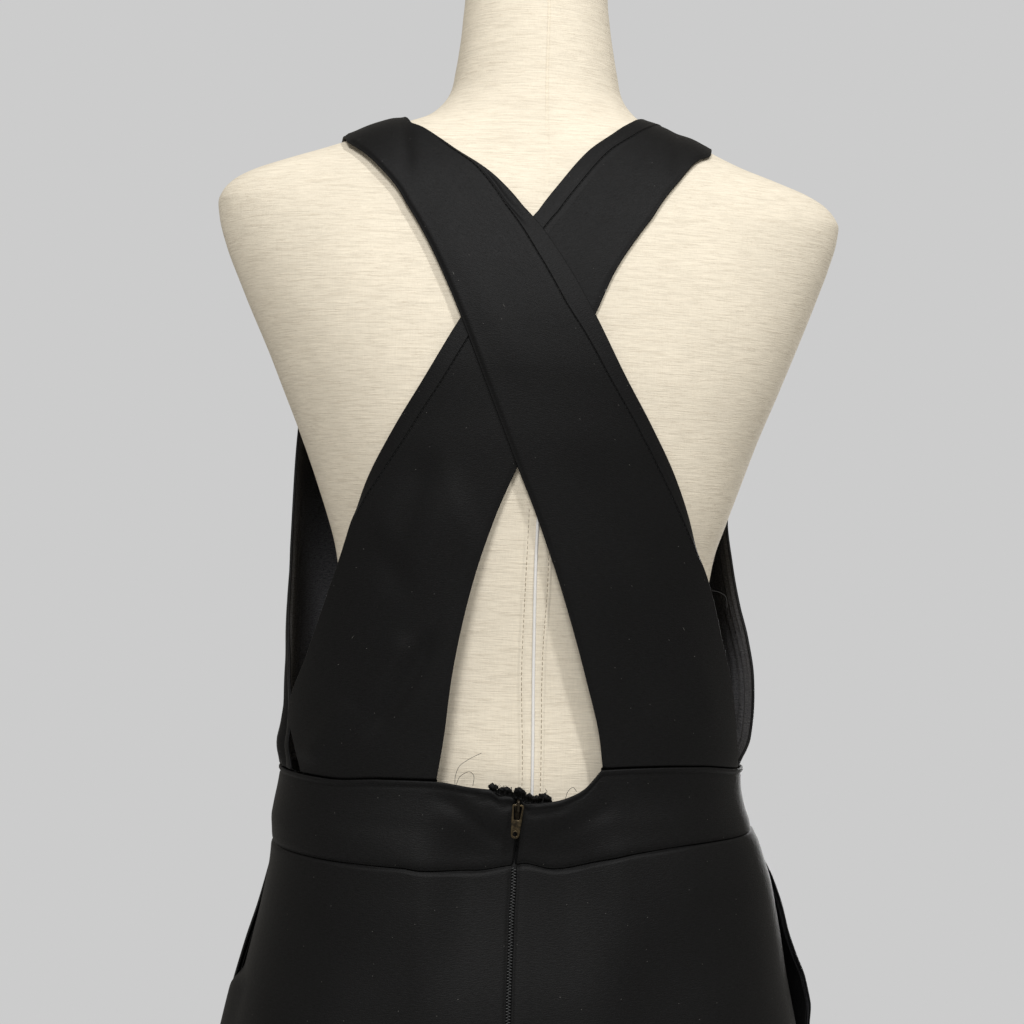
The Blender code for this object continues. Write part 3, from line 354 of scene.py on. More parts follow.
# Rolls of the unfinished edge above the zip: paths and radii in millimetres, by side.
RAW_ROLLS = {
    1: [([(20.2, 95.8, 1029.8), (18.4, 96.4, 1030.9), (16.2, 96.4, 1030.7), (14.2, 95.8, 1029.6)],
         (1.3, 2.1, 2.1, 1.2)),
        ([(14.6, 95.8, 1029.0), (12.0, 96.6, 1029.6), (8.8, 97.0, 1029.4), (5.6, 97.2, 1028.4)],
         (1.0, 1.4, 1.5, 1.1)),
        ([(4.8, 97.4, 1027.8), (2.4, 98.2, 1029.4), (0, 98.4, 1029.0), (-2.8, 97.8, 1026.6)],
         (.9, 1.8, 1.7, 1.0))],
    -1: [([(-2.8, 97.6, 1025.4), (-5.2, 98.0, 1026.0), (-7.0, 97.6, 1024.4)], (1.2, 1.7, 1.2)),
         ([(-6.6, 97.4, 1023.8), (-8.6, 97.8, 1025.0), (-10.4, 97.4, 1024.0)], (1.1, 1.5, 1.2)),
         ([(-10.2, 97.0, 1024.0), (-12.8, 97.8, 1025.8), (-15.6, 97.8, 1025.5),
           (-18.6, 97.2, 1023.4)], (1.4, 2.1, 1.9, 1.1))],
}
# Creases round a roll of raw edge: depth, lobes, twist along it, start and sharpness.
CRUMPLES = ((.34, 1.5, 9, 1, .6), (.26, 1, -13, 2.1, .5), (.16, 2.5, 24, .7, .7))


def curve(rows):
    """A smooth curve through pairs of numbers that never overshoots them."""
    at, to = np.array(sorted(rows), float).T
    step = np.diff(at)
    slope = np.diff(to) / step
    tangent = np.zeros(len(at))
    tangent[0], tangent[-1] = slope[0], slope[-1]
    for i in range(1, len(at) - 1):
        if slope[i - 1] * slope[i] > 0:
            first, second = 2 * step[i] + step[i - 1], step[i] + 2 * step[i - 1]
            tangent[i] = (first + second) / (first / slope[i - 1] + second / slope[i])

    def value(x):
        x = np.clip(x, at[0], at[-1])
        i = np.clip(np.searchsorted(at, x) - 1, 0, len(at) - 2)
        t, h = (x - at[i]) / step[i], step[i]
        return ((1 + 2 * t) * (1 - t) ** 2 * to[i] + t * (1 - t) ** 2 * h * tangent[i]
                + t * t * (3 - 2 * t) * to[i + 1] + t * t * (t - 1) * h * tangent[i + 1])
    return value


def mix(a, b, t):
    return a + (b - a) * t


def smooth(t):
    t = np.clip(t, 0, 1)
    return t * t * (3 - 2 * t)


def bell(x, width):
    return np.exp(-(x / width) ** 2)


class Block:
    """A stack of rounded rings, as a surface that cloth can be laid on."""

    def __init__(self, rows):
        for column in Ring._fields[1:]:
            setattr(self, column, curve([(row.z, getattr(row, column)) for row in rows]))

    def depth(self, back, z):
        side = self.side_y(z)
        return np.where(back, self.back_y(z) - side, side - self.front_y(z))

    def full(self, back, z):
        return np.where(back, self.back_full(z), self.front_full(z))

    def beyond(self, p):
        """Negative inside the block, positive outside."""
        x, y, z = p[..., 0], p[..., 1], p[..., 2]
        back = y > self.side_y(z)
        n = self.full(back, z)
        return (np.abs(x / self.half_width(z)) ** n
                + np.abs((y - self.side_y(z)) / self.depth(back, z)) ** n - 1)

    def ring(self, turn, z):
        """A point by its angle from the middle of the back, positive to the wearer's left."""
        sine, cosine = np.sin(turn), np.cos(turn)
        back = cosine > 0
        n = 2 / self.full(back, z)
        x = self.half_width(z) * np.sign(sine) * np.abs(sine) ** n
        y = self.side_y(z) + self.depth(back, z) * np.sign(cosine) * np.abs(cosine) ** n
        return np.stack(np.broadcast_arrays(x, y, z), axis=-1)

    def turn_at_x(self, x, z, back):
        """The angle away from centre back, or from centre front, at a given x."""
        share = np.clip(np.abs(x) / self.half_width(z), 0, 1)
        return np.sign(x) * np.arcsin(share ** (self.full(back, z) / 2))

    def over(self, x, rise, facing):
        """A point by x and the path's height over the shoulder, facing +1 back or -1 front."""
        x, rise = np.broadcast_arrays(np.asarray(x, float), np.asarray(rise, float))
        angle = np.clip((rise - SHOULDER_Z) / SHOULDER_ARC, 0, None)
        start = np.stack((x, np.zeros_like(x), np.minimum(rise, SHOULDER_Z)), axis=-1)
        way = np.stack((np.zeros_like(x), facing * np.cos(angle), np.sin(angle)), axis=-1)
        near, far = np.zeros(x.shape), np.full(x.shape, .2)
        for _ in range(34):
            half = (near + far) / 2
            inside = self.beyond(start + way * half[..., None]) < 0
            near, far = np.where(inside, half, near), np.where(inside, far, half)
        return start + way * ((near + far) / 2)[..., None]


FORM_BLOCK = Block(FORM)
CLOTH_BLOCK = Block(LOW_CLOTH + [
    row._replace(z=row.z + .8 * EASE, half_width=row.half_width + .8 * EASE,
                 back_y=row.back_y + .9 * EASE, front_y=row.front_y - .9 * EASE)
    for row in FORM if row.z > FORM_FROM_Z])
band_top, band_end = curve(BAND_TOP), curve(BAND_END)
centre_back, sway, flare = curve(CENTRE_BACK), curve(SWAY), curve(FLARE)
form_shift, form_slim = curve(FORM_SHIFT), curve(FORM_SLIM)
gape = {side: curve(rows) for side, rows in GAPE.items()}


def band_top_at(x, back):
    level, slope = FRONT_BAND_TOP
    return np.where(back, band_top(x), level + slope * x)


def band_end_at(x, back):
    level, slope = FRONT_BAND_END
    return np.where(back, band_end(x), level + slope * x)


def leaned(points):
    """Shift the middle of the back sideways to where the zip lies."""
    share = np.clip(1 - np.abs(points[..., 0]) / .150, 0, 1) ** 1.5
    back = smooth(points[..., 1] / BACK_BLEND)
    out = flare(points[..., 2]) * smooth((-points[..., 0] / .155 - .75) / .25)
    points[..., 1] -= hollow(points[..., 0], points[..., 2]) * back
    points[..., 0] += centre_back(points[..., 2]) * share * back + sway(points[..., 2]) - out
    return points


def hollow(x, z):
    """The waistband is drawn in beside the zip, most of all just above its lower seam."""
    reach = np.where(z > HOLLOW_Z, .0200, .0725)
    return HOLLOW_DEPTH * bell(z - HOLLOW_Z, reach) * smooth((.066 - np.abs(x)) / .038)


def form_face(x, z):
    """A point on the back of the form at a given x and height."""
    z = np.asarray(z, float)
    shift = form_shift(z)
    return FORM_BLOCK.ring(FORM_BLOCK.turn_at_x(x - shift, z, True), z) + np.stack(
        (shift, -hollow(x, z), 0 * z), axis=-1)


def strap_rise(rise):
    """How far the upper strap stands off: whole over the crossing, none at either end."""
    (foot, up), (top, down) = CROSSING_FOOT, CROSSING_TOP
    return smooth((rise - foot) / up) * (1 - smooth((rise - top) / down))


def strap_place(neck_rows, arm_rows, lifted):
    """A back strap: u from its neck edge to its arm edge, v from the waist to the shoulder."""
    neck, arm = curve(neck_rows), curve(arm_rows)

    def place(u, v):
        rise = mix(STRAP_FOOT, STRAP_END, v)
        x = mix(neck(rise), arm(rise), u)
        foot = band_top_at(x, True) - TUCK - STRAP_FOOT
        rise = rise + foot * (1 - smooth((rise - STRAP_FOOT) / FOOT_REACH))
        x = mix(neck(rise), arm(rise), u)
        points = CLOTH_BLOCK.over(x, rise, 1)
        return points + (0, .75 * lifted, .65 * lifted) * strap_rise(rise)[..., None]
    return place


def front_place(side):
    """One half of the front bodice; side is +1 for the wearer's left."""
    neck = curve(FRONT_NECK)
    arm_x, arm_y = curve(FRONT_ARM_X), curve(FRONT_ARM_Y)
    neck_share, arm_share, shorter = (1, 1, 0) if side > 0 else (RIGHT_NECK, RIGHT_ARM,
                                                                 RIGHT_ARM_BACK)
    swell = curve(SIDE_SWELL[side])

    def arm_turn(rise):
        z = np.minimum(rise, SHOULDER_Z)
        y = arm_y(rise) - shorter * (1 - smooth((rise - 1.050) / .060))
        back = y > 0
        share = np.clip(np.abs(y) / CLOTH_BLOCK.depth(back, z), 0, 1)
        share = share ** (CLOTH_BLOCK.full(back, z) / 2)
        low = np.where(back, math.pi / 2 + np.arcsin(share), np.arccos(share))
        high = CLOTH_BLOCK.turn_at_x(arm_x(rise) * arm_share, z, False)
        return mix(low, high, smooth((rise - 1.330) / .055))

    def place(u, v):
        rise = mix(BODICE_FOOT, BODICE_END, v)
        z = np.minimum(rise, SHOULDER_Z)
        first = CLOTH_BLOCK.turn_at_x(neck(rise) * neck_share, z, False)
        turn = mix(first, arm_turn(rise), u)
        x = side * CLOTH_BLOCK.ring(math.pi - turn, z)[..., 0]
        foot = band_top_at(x, turn > math.pi / 2) - TUCK - BODICE_FOOT
        rise = rise + foot * (1 - smooth((rise - BODICE_FOOT) / FOOT_REACH))
        z = np.minimum(rise, SHOULDER_Z)
        low = CLOTH_BLOCK.ring(math.pi - turn, z)
        high = CLOTH_BLOCK.over(np.abs(low[..., 0]), rise, -1)
        points = np.where((rise > SHOULDER_Z)[..., None], high, low)
        outer = smooth((points[..., 0] / CLOTH_BLOCK.half_width(z) - .72) / .26)
        points[..., 0] += swell(points[..., 2]) * outer
        return points * (side, 1, 1)
    return place


def band_place(u, v):
    """The waistband: u is the angle from centre back, v runs from its lower edge up."""
    back = np.cos(u) > 0
    end = band_end_at(CLOTH_BLOCK.ring(u, BAND_LOW_Z)[..., 0], back)
    top = band_top_at(CLOTH_BLOCK.ring(u, BAND_TOP_Z)[..., 0], back)
    points = CLOTH_BLOCK.ring(u, mix(end, top, v))
    x = points[..., 0]
    open_by = mix(GROOVE_LOW, GROOVE, smooth((points[..., 2] - 1.004) / .008))
    groove = np.where(back, open_by * (1 - np.abs(x) / CLOTH_BLOCK.half_width(points[..., 2])), 0)
    points[..., 0] = x + np.where(u > 0, groove, -groove)
    return leaned(points)


def x_share_at(u):
    """Distance from the centre, as a share of the half width, for a panel's column."""
    share = np.clip(u / INNER, 0, 1) * math.pi / 2
    near = MIDDLE * (1 - np.abs(np.cos(share)) ** (1 / CURL))
    turn = mix(math.asin(MIDDLE ** CURL), math.pi / 2, np.clip((u - INNER) / (1 - INNER), 0, 1))
    return np.where(u < INNER, near, np.abs(np.sin(turn)) ** (1 / CURL))


def seam_gap(z, facing):
    """Half the gap at the centre seam; below the crotch, half the space between the legs."""
    meeting = bell(z - CROTCH_Z, .014)
    legs = SEAM / 2 - .0008 * meeting + .012 * np.clip((CROTCH_Z - z) / .090, 0, 1) ** 1.3
    closed = legs - SEAM * 1.5
    return closed if facing < 0 else mix(closed, GROOVE, smooth((z - ZIP_END_Z) / .012))


def centre_path(v):
    """Height along the centre seam: quick down the seat, slow round the crotch, the inseam."""
    seat = np.clip(v / .62, 0, 1)
    leg = np.clip((v - .62) / .38, 0, 1)
    return mix(SHORTS_TOP, CROTCH_Z, 1 - (1 - seat) ** 1.9) - leg * (CROTCH_Z - HEM_Z)


def shorts_point(side, facing, u, z):
    """A point of a shorts panel by its column, from centre seam to side seam, and height."""
    back = np.full(np.shape(z), facing > 0)
    x_share = x_share_at(u)
    curl = np.abs(np.sin(np.clip(u / INNER, 0, 1) * math.pi / 2)) ** (1 / CURL)
    width, depth = CLOTH_BLOCK.half_width(z), CLOTH_BLOCK.depth(back, z)
    full = CLOTH_BLOCK.full(back, z)
    around = np.clip(1 - np.clip(x_share, 0, 1) ** full, 0, 1) ** (1 / full)
    low = np.clip((z - CROTCH_Z) / (SEAT_Z - CROTCH_Z), 0, 1)
    kept = np.clip(1 - (1 - low) ** 2.4, 0, 1) ** (1 / 2.4)
    pull = np.where(u < INNER, kept + (1 - kept) * curl, 1)
    y = facing * np.maximum(depth * around * pull, SEAM / 2)
    gap = seam_gap(z, facing)
    x = gap + (width - gap) * x_share
    outer = np.clip((u - INNER) / (1 - INNER), 0, 1)
    bulge = gape[side](z) * smooth((outer - .45) / .55) if facing < 0 else 0 * z
    y = y + .35 * np.maximum(bulge - .0035, 0)
    return leaned(np.stack((side * (x + bulge), y, z), axis=-1))


def shorts_place(side, facing):
    """One shorts panel: u from the centre seam and inseam (0) to the side seam (1)."""
    def place(u, v):
        u = np.asarray(u, float)
        x = side * x_share_at(u) * CLOTH_BLOCK.half_width(BAND_LOW_Z)
        foot = band_end_at(x, np.full(np.shape(u), facing > 0)) + TUCK - SHORTS_TOP
        z = mix(centre_path(v), mix(SHORTS_TOP, HEM_Z, v), smooth(u / .75))
        return shorts_point(side, facing, u, z + foot * (1 - smooth(v / .30)))
    return place


def zip_face(z):
    """Centre of the zip at a height: the cloth's outer face there, and its outward normal."""
    z = np.asarray(z, float)
    face = leaned(CLOTH_BLOCK.ring(np.zeros(z.shape), z))
    slope = (CLOTH_BLOCK.back_y(z + .001) - CLOTH_BLOCK.back_y(z - .001)) / .002
    normal = np.stack((0 * z, np.ones(z.shape), -slope), axis=-1)
    return face, normal / np.linalg.norm(normal, axis=-1, keepdims=True)


def length(name, description, default, low, high):
    return FloatProperty(name=name, description=description, default=default, min=low, max=high,
                         unit="LENGTH")


def brightness(name, description, default):
    return FloatProperty(name=name, description=description, default=default, min=0, max=2)


def watts(name, description, default):
    return FloatProperty(name=name, description=description, default=default, min=0, max=400,
                         subtype="POWER")


class RomperSizes(bpy.types.PropertyGroup):
    cloth: length("Cloth", "Thickness of the knit", .0012, .0004, .0016)
    hem: length("Hem", "Width of the turned hem on the neck edges", .0090, .004, .014)
    hem_lift: length("Hem lift", "How far a turned hem stands up", .00060, 0, .0012)
    seam_depth: length("Seam depth", "How far cloth sinks beside a seam", .0007, 0, .0015)
    stitch: length("Stitch", "Length of one stitch", .0026, .001, .006)
    thread: length("Thread", "Thickness of the sewing thread", .0003, .0001, .001)
    coil: length("Coil pitch", "Distance from one zip tooth to the next", .0018, .0006, .003)
    turn_up: length("Leg hem", "Height of the hem on the shorts", .022, .01, .04)


def colour_property(name, description, colour):
    return FloatVectorProperty(name=name, description=description, subtype="COLOR", size=3,
                               min=0, max=1, default=colour)


class RomperColours(bpy.types.PropertyGroup):
    knit: colour_property("Knit", "The black knit", (.0029, .0029, .0031))
    lint: colour_property("Lint", "Specks of lint on the knit", (.11, .107, .10))
    linen: colour_property("Linen", "The form's cloth", (.760, .690, .565))
    slub: colour_property("Slubs", "The darker threads in the linen", (.46, .375, .27))
    cord: colour_property("Cord", "The white cord down the form's placket", (.80, .79, .77))
    brass: colour_property("Brass", "Worn metal of the zip's slider and pull", (.12, .093, .055))
    patina: colour_property("Patina", "Dark metal where the brass isn't worn", (.030, .025, .018))
    steel: colour_property("Steel", "The stand's pole", (.55, .55, .56))
    paint: colour_property("Paint", "The stand's base", (.10, .10, .105))


class RomperStudio(bpy.types.PropertyGroup):
    backdrop: brightness("Backdrop", "Brightness of the room in view", .604)
    room: brightness("Room light", "Light that the room gives", .33)
    key: watts("Key light", "Power of the high light in watts", 68)
    second: watts("Second light", "Power of the light from the left in watts", 87)
    front: watts("Front light", "Power of the light on the front in watts", 30)
    distance: length("Distance", "From the form's axis to the camera", 1.30, .5, 6)


def sizes():
    return bpy.context.scene.romper_sizes


def colours():
    return bpy.context.scene.romper_colours


def lanes(run, t, count, start, end, share=1., inset=(1, 1)):
    """Parameters of a line at chosen distances from its two ends, and even in between."""
    edge = sizes().cloth * .36
    low = edge * inset[0] + np.array(start) / 1000 * share
    high = run[-1] - edge * inset[1] - np.array(end)[::-1] / 1000
    even = mix(low[-1], high[0], np.linspace(0, 1, count + 2)[1:-1])
    return np.interp(np.concatenate((low, even, high)), run, t)


def run_of(points, axis):
    """Distance along a grid of points, from its first line."""
    steps = np.linalg.norm(np.diff(points, axis=axis), axis=-1)
    first = np.zeros_like(np.take(steps, [0], axis=axis))
    return np.concatenate((first, np.cumsum(steps, axis=axis)), axis=axis)


def unit(vectors):
    return vectors / np.maximum(np.linalg.norm(vectors, axis=-1, keepdims=True), 1e-12)


class Lay:
    """A piece's fine grid: its points, outward normals and distances from its four edges."""

    def __init__(self, place, rows, columns, first=EDGE_LANES, last=EDGE_LANES,
                 foot=EDGE_LANES, head=EDGE_LANES, share=None, inset=None, spine=.5, v=None):
        t = np.linspace(0, 1, 321)
        if v is None:
            v = lanes(run_of(place(np.full(t.shape, spine), t), 0), t, rows, foot, head)
        share = np.ones(v.shape) if share is None else share(v)
        inset = np.ones(v.shape) if inset is None else inset(v)
        across = run_of(place(*np.broadcast_arrays(t[None], v[:, None])), 1)
        u = np.array([lanes(run, t, columns, first, last, s, (i, 1))
                      for run, s, i in zip(across, share, inset)])
        self.u, self.v, self.share = u, np.repeat(v[:, None], u.shape[1], 1), share
        self.points = place(self.u, self.v)
        self.measure()

    def measure(self):
        run, rise = run_of(self.points, 1), run_of(self.points, 0)
        self.left, self.right = run, run[:, -1:] - run
        self.low, self.high = rise, rise[-1:] - rise
        along, up = np.gradient(self.points, axis=1), np.gradient(self.points, axis=0)
        self.along, self.up = unit(along), unit(up)
        normal = unit(np.cross(along, up))
        self.flip = np.sign((normal * self.points * (1, 1, 0)).sum())
        self.normal = normal * self.flip

    def raise_by(self, height):
        """Move the points off the face, without measuring again."""
        self.points = self.points + self.normal * height[..., None]

    def area(self):
        a = self.points[1:, 1:] - self.points[:-1, :-1]
        b = self.points[1:, :-1] - self.points[:-1, 1:]
        return float(np.linalg.norm(np.cross(a, b), axis=-1).sum() / 2)


def through(path, count=40):
    """A smooth line through a few places."""
    p = np.array(path, float)
    p = np.vstack((2 * p[0] - p[1], p, 2 * p[-1] - p[-2]))
    t = np.linspace(0, len(path) - 1, count)
    i = np.minimum(t.astype(int), len(path) - 2)
    t = (t - i)[:, None]
    a, b, c, d = p[i], p[i + 1], p[i + 2], p[i + 3]
    return .5 * (2 * b + (c - a) * t + (2 * a - 5 * b + 4 * c - d) * t ** 2
                 + (3 * b - a - 3 * c + d) * t ** 3)


def folded(points, folds):
    """Height of a set of soft creases, each dying out towards its ends."""
    total = np.zeros(points.shape[:-1])
    flat = points[..., (0, 2)] * 1000
    for fold in folds:
        line = through(fold.path)
        low, high = line.min(0) - 3 * fold.width, line.max(0) + 3 * fold.width
        near = np.all((flat > low) & (flat < high), axis=-1)
        if not near.any():
            continue
        p = flat[near]
        a, step = line[:-1], np.diff(line, axis=0)
        t = np.clip(((p[:, None] - a) * step).sum(-1) / (step ** 2).sum(-1), 0, 1)
        far = np.linalg.norm(p[:, None] - a - step * t[..., None], axis=-1)
        i = far.argmin(1)
        at = (i + t[np.arange(len(i)), i]) / len(step)
        total[near] += (fold.height / 1000 * bell(far.min(1), fold.width)
                        * smooth(at / .25) * smooth((1 - at) / .25))
    return total


def sunk(*distances):
    """Cloth turns in beside each seam."""
    return -sizes().seam_depth * sum((1 - smooth(d / .0065)) ** 1.7
                                     + .9 * (1 - smooth(d / .0018)) for d in distances)


def tucked(distance):
    """A panel's edge passes behind the waistband."""
    return -.0027 * (1 - smooth((distance - TUCK) / .0011))


def hemmed(distance, width, strength=1.):
    """A turned hem: the doubled cloth stands up as far as its line of stitches."""
    beyond = distance - width
    lift = 1 - smooth((beyond + .0006) / .0007)
    groove = .00060 * bell(beyond + .0001, .00034)
    groove += .00012 * bell(beyond + .0027, .0006)
    return (sizes().hem_lift * lift - groove) * strength


def rolled(distance, width, depth):
    """The outer part of an edge, falling away from the eye."""
    return -depth * np.clip(1 - distance / width, 0, 1) ** 1.3


def rim_loop(rows, columns):
    """A grid's outer places in order, as rows and columns."""
    loop = [(0, c) for c in range(columns)] + [(r, columns - 1) for r in range(1, rows)]
    loop += [(rows - 1, c) for c in range(columns - 2, -1, -1)]
    return np.array(loop + [(r, 0) for r in range(rows - 2, 0, -1)])


def grid_quads(rows, columns, around=False):
    """Faces of a grid of points; around joins its last column to its first."""
    grid = np.arange(rows * columns).reshape(rows, columns)
    beside = np.roll(grid, -1, axis=1)
    quads = np.stack((grid[:-1], beside[:-1], beside[1:], grid[1:]), axis=-1)
    return quads[:, :columns if around else -1].reshape(-1, 4)


def shell(lay, outer_lift=0., lift=0., thick=None, joined=0):
    """Two skins and a round rim between them; joined rows have no rim at their first column."""
    thick = thick or sizes().cloth
    rows, columns = lay.u.shape
    outer = lay.points + lay.normal * (lift + outer_lift + 0 * lay.left)[..., None]
    inner = lay.points + lay.normal * (lift - thick + 0 * lay.left)[..., None]
    loop = rim_loop(rows, columns)
    r, c = loop.T
    side = (c == columns - 1) * 1. - (c == 0) * (r > max(joined - 1, -1)) * 1.
    end = (r == rows - 1) * 1. - (r == 0) * 1.
    if joined:
        end = end + ((c == 0) & (r <= joined) & (r > 0)) * 1.
        side = side * ((c > 0) | (r > joined))
    away = unit(lay.along[r, c] * side[:, None] + lay.up[r, c] * end[:, None])
    middle, half = (outer[r, c] + inner[r, c]) / 2, (outer[r, c] - inner[r, c]) / 2
    reach = np.linalg.norm(half, axis=-1, keepdims=True)
    away = unit(away - half * (away * half).sum(-1, keepdims=True) / reach ** 2)
    arcs = [middle + half * math.cos(a) + away * np.minimum(reach, thick / 2) * math.sin(a)
            for a in (math.pi / 4, math.pi / 2, 3 * math.pi / 4)]
    if joined:
        seam = (c == 0) & (r <= joined)
        for points in arcs:
            points[seam, 0] = 0
        outer[:joined + 1, 0, 0] = inner[:joined + 1, 0, 0] = 0
    points = np.concatenate([outer.reshape(-1, 3), inner.reshape(-1, 3)] + arcs)
    quads, rim = grid_quads(rows, columns), r * columns + c
    count, around = rows * columns, len(loop)
    rings = [rim] + [2 * count + k * around + np.arange(around) for k in range(3)]
    rings.append(count + rim)
    kept = np.ones(around, bool)
    if joined:
        kept = ~((c == 0) & (np.roll(c, -1) == 0) & (np.maximum(r, np.roll(r, -1)) <= joined))
    faces = [quads, quads[:, ::-1] + count]
    for near, far in zip(rings, rings[1:]):
        band = np.stack((np.roll(near, -1), near, far, np.roll(far, -1)), axis=-1)
        faces.append(band[kept])
    faces = np.concatenate(faces)
    uv = np.stack((lay.left + .01, lay.low + .01), axis=-1)
    uv = np.concatenate([uv.reshape(-1, 2)] * 2 + [uv[r, c]] * 3)
    wrong_side = (np.arange(len(faces)) // len(quads) == 1).astype(np.int32)
    return points, faces if lay.flip > 0 else faces[:, ::-1], uv, wrong_side


def mesh_object(name, shells, material, inside=None, weld=False):
    """One mesh from closed shells of points, faces, UVs and which faces are the wrong side."""
    counts = np.cumsum([0] + [len(s[0]) for s in shells])
    points = np.concatenate([s[0] for s in shells])
    faces = np.concatenate([s[1] + n for s, n in zip(shells, counts)])
    mesh = bpy.data.meshes.new(name)
    mesh.from_pydata(points.tolist(), [], faces.tolist())
    layer = mesh.uv_layers.new(name="cloth")
    corner = np.empty(len(mesh.loops), np.int32)
    mesh.loops.foreach_get("vertex_index", corner)
    layer.data.foreach_set("uv", np.concatenate([s[2] for s in shells])[corner].ravel())
    if inside:
        mesh.polygons.foreach_set("material_index", np.concatenate([s[3] for s in shells]))
    if weld:
        bm = bmesh.new()
        bm.from_mesh(mesh)
        bmesh.ops.remove_doubles(bm, verts=bm.verts, dist=.00003)
        bm.to_mesh(mesh)
        bm.free()
    mesh.shade_smooth()
    return linked(name, mesh, material, inside)


def knitted(name, shells, weld=False):
    # Inner skins take the wrong side's material, which is painted light.
    return mesh_object(name, shells, knit_material(), inside_painted_light_material(), weld)


def smooth_mesh(name, bm, sharp=None):
    """A mesh from a bmesh, smooth up to an angle in degrees, or all over."""
    mesh = bpy.data.meshes.new(name)
    bm.to_mesh(mesh)
    bm.free()
    mesh.shade_smooth()
    if sharp:
        mesh.set_sharp_from_angle(angle=math.radians(sharp))
    return mesh


def placed(name, data):
    obj = bpy.data.objects.new(name, data)
    bpy.context.scene.collection.objects.link(obj)
    return obj


def linked(name, mesh, *materials):
    """An object with its materials, in place of any that its mesh came with."""
    obj = placed(name, mesh)
    if len(mesh.materials) > len(materials):
        mesh.materials.clear()
    for i, material in enumerate(m for m in materials if m):
        if i < len(mesh.materials):
            mesh.materials[i] = material
        else:
            mesh.materials.append(material)
    return obj


def evaluated(source):
    """The mesh that an object's modifiers or curve settings make; the object goes."""
    depsgraph = bpy.context.evaluated_depsgraph_get()
    mesh = bpy.data.meshes.new_from_object(source.evaluated_get(depsgraph))
    bpy.data.objects.remove(source, do_unlink=True)
    return mesh


def settle(obj, slot, *nodes, body=BODY):
    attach(obj, body)
    if nodes:
        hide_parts(*nodes)
    return obj


class Nodes:
    """Adds nodes to a tree: settings by name, and inputs as values or as sockets to link."""

    def __init__(self, tree):
        self.tree = tree

    def __call__(self, kind, inputs=None, **settings):
        made = self.tree.nodes.new(kind)
        for key, value in settings.items():
            setattr(made, key, value)
        return self.feed(made, inputs or {})

    def feed(self, node, inputs):
        for key, value in inputs.items():
            if isinstance(value, bpy.types.NodeSocket):
                self.tree.links.new(value, node.inputs[key])
            else:
                node.inputs[key].default_value = value
        return node

    def group(self, tree, **inputs):
        return self.feed(self("ShaderNodeGroup", node_tree=tree), inputs)

    def where(self):
        return self("ShaderNodeTexCoord").outputs["Object"]

    def math(self, operation, a, b=0., c=0.):
        return self("ShaderNodeMath", {0: a, 1: b, 2: c}, operation=operation).outputs[0]

    def times(self, a, b):
        return self.math("MULTIPLY", a, b)

    def plus(self, a, b):
        return self.math("ADD", a, b)

    def vector(self, x, y=0., z=0.):
        return self("ShaderNodeCombineXYZ", {"X": x, "Y": y, "Z": z}).outputs[0]

    def stretched(self, vector, scale):
        return self("ShaderNodeMapping", {"Vector": vector, "Scale": scale}).outputs[0]

    def noise(self, vector, scale, detail=2., rough=.5):
        return self("ShaderNodeTexNoise", {"Vector": vector, "Scale": scale, "Detail": detail,
                                           "Roughness": rough}).outputs["Fac"]

    def ramp(self, value, low, high, start=0., end=1.):
        return self("ShaderNodeMapRange", {"Value": value, "From Min": low, "From Max": high,
                                           "To Min": start, "To Max": end}).outputs[0]

    def scaled(self, colour, factor):
        return self("ShaderNodeVectorMath", {0: tuple(colour), "Scale": factor},
                    operation="SCALE").outputs[0]

    def mixed(self, factor, a, b):
        made = self("ShaderNodeMix", data_type="RGBA")
        return self.feed(made, {0: factor, 6: a, 7: b}).outputs[2]

    def finish(self, shader, colour, rough, height, distance, strength=1.):
        """Wire a shader's colour, roughness and fine relief."""
        bump = self("ShaderNodeBump", {"Height": height, "Distance": distance,
                                       "Strength": strength})
        self.feed(shader, {"Base Color": colour, "Roughness": rough, "Normal": bump.outputs[0]})

    def copies(self, points, instance, rotation, scale=(1, 1, 1)):
        return self("GeometryNodeInstanceOnPoints", {
            "Points": points, "Instance": instance, "Rotation": rotation,
            "Scale": scale}).outputs[0]


def shader_group(name, number, value, outputs, fill):
    """A node group, built once, with a vector and one number; fill gives its outputs."""
    tree = bpy.data.node_groups.get(name)
    if tree:
        return tree
    tree = bpy.data.node_groups.new(name, "ShaderNodeTree")
    tree.interface.new_socket("Vector", in_out="INPUT", socket_type="NodeSocketVector")
    socket = tree.interface.new_socket(number, in_out="INPUT", socket_type="NodeSocketFloat")
    socket.default_value = value
    for word in outputs:
        tree.interface.new_socket(word, in_out="OUTPUT", socket_type="NodeSocketFloat")
    add = Nodes(tree)
    given, result = add("NodeGroupInput"), add("NodeGroupOutput")
    add.feed(result, fill(add, given.outputs))
    return tree


def crepe_group():
    """Fine pebbled grain of a crepe knit, a little longer across than up, with painted shade in
    its low places and painted highlight on its tops.
    """
    def fill(add, given):
        fine = add.noise(add.stretched(given["Vector"], (.55, 1, 1)), given["Grain"], 3, .6)
        ribs = add.noise(add.stretched(given["Vector"], (.16, .85, 1)), given["Grain"], 2, .5)
        height = add.plus(fine, add.times(ribs, .7))
        tone = add.ramp(add.noise(given["Vector"], 14, 3), .3, .7, .86, 1.16)
        # The tone follows the grain's height: painted shade and painted highlight over a random
        # mottle.
        return {"Height": height, "Tone": add.times(tone, add.ramp(height, .55, 1.15, .25, 1.85))}
    return shader_group("crepe grain", "Grain", 900., ("Height", "Tone"), fill)


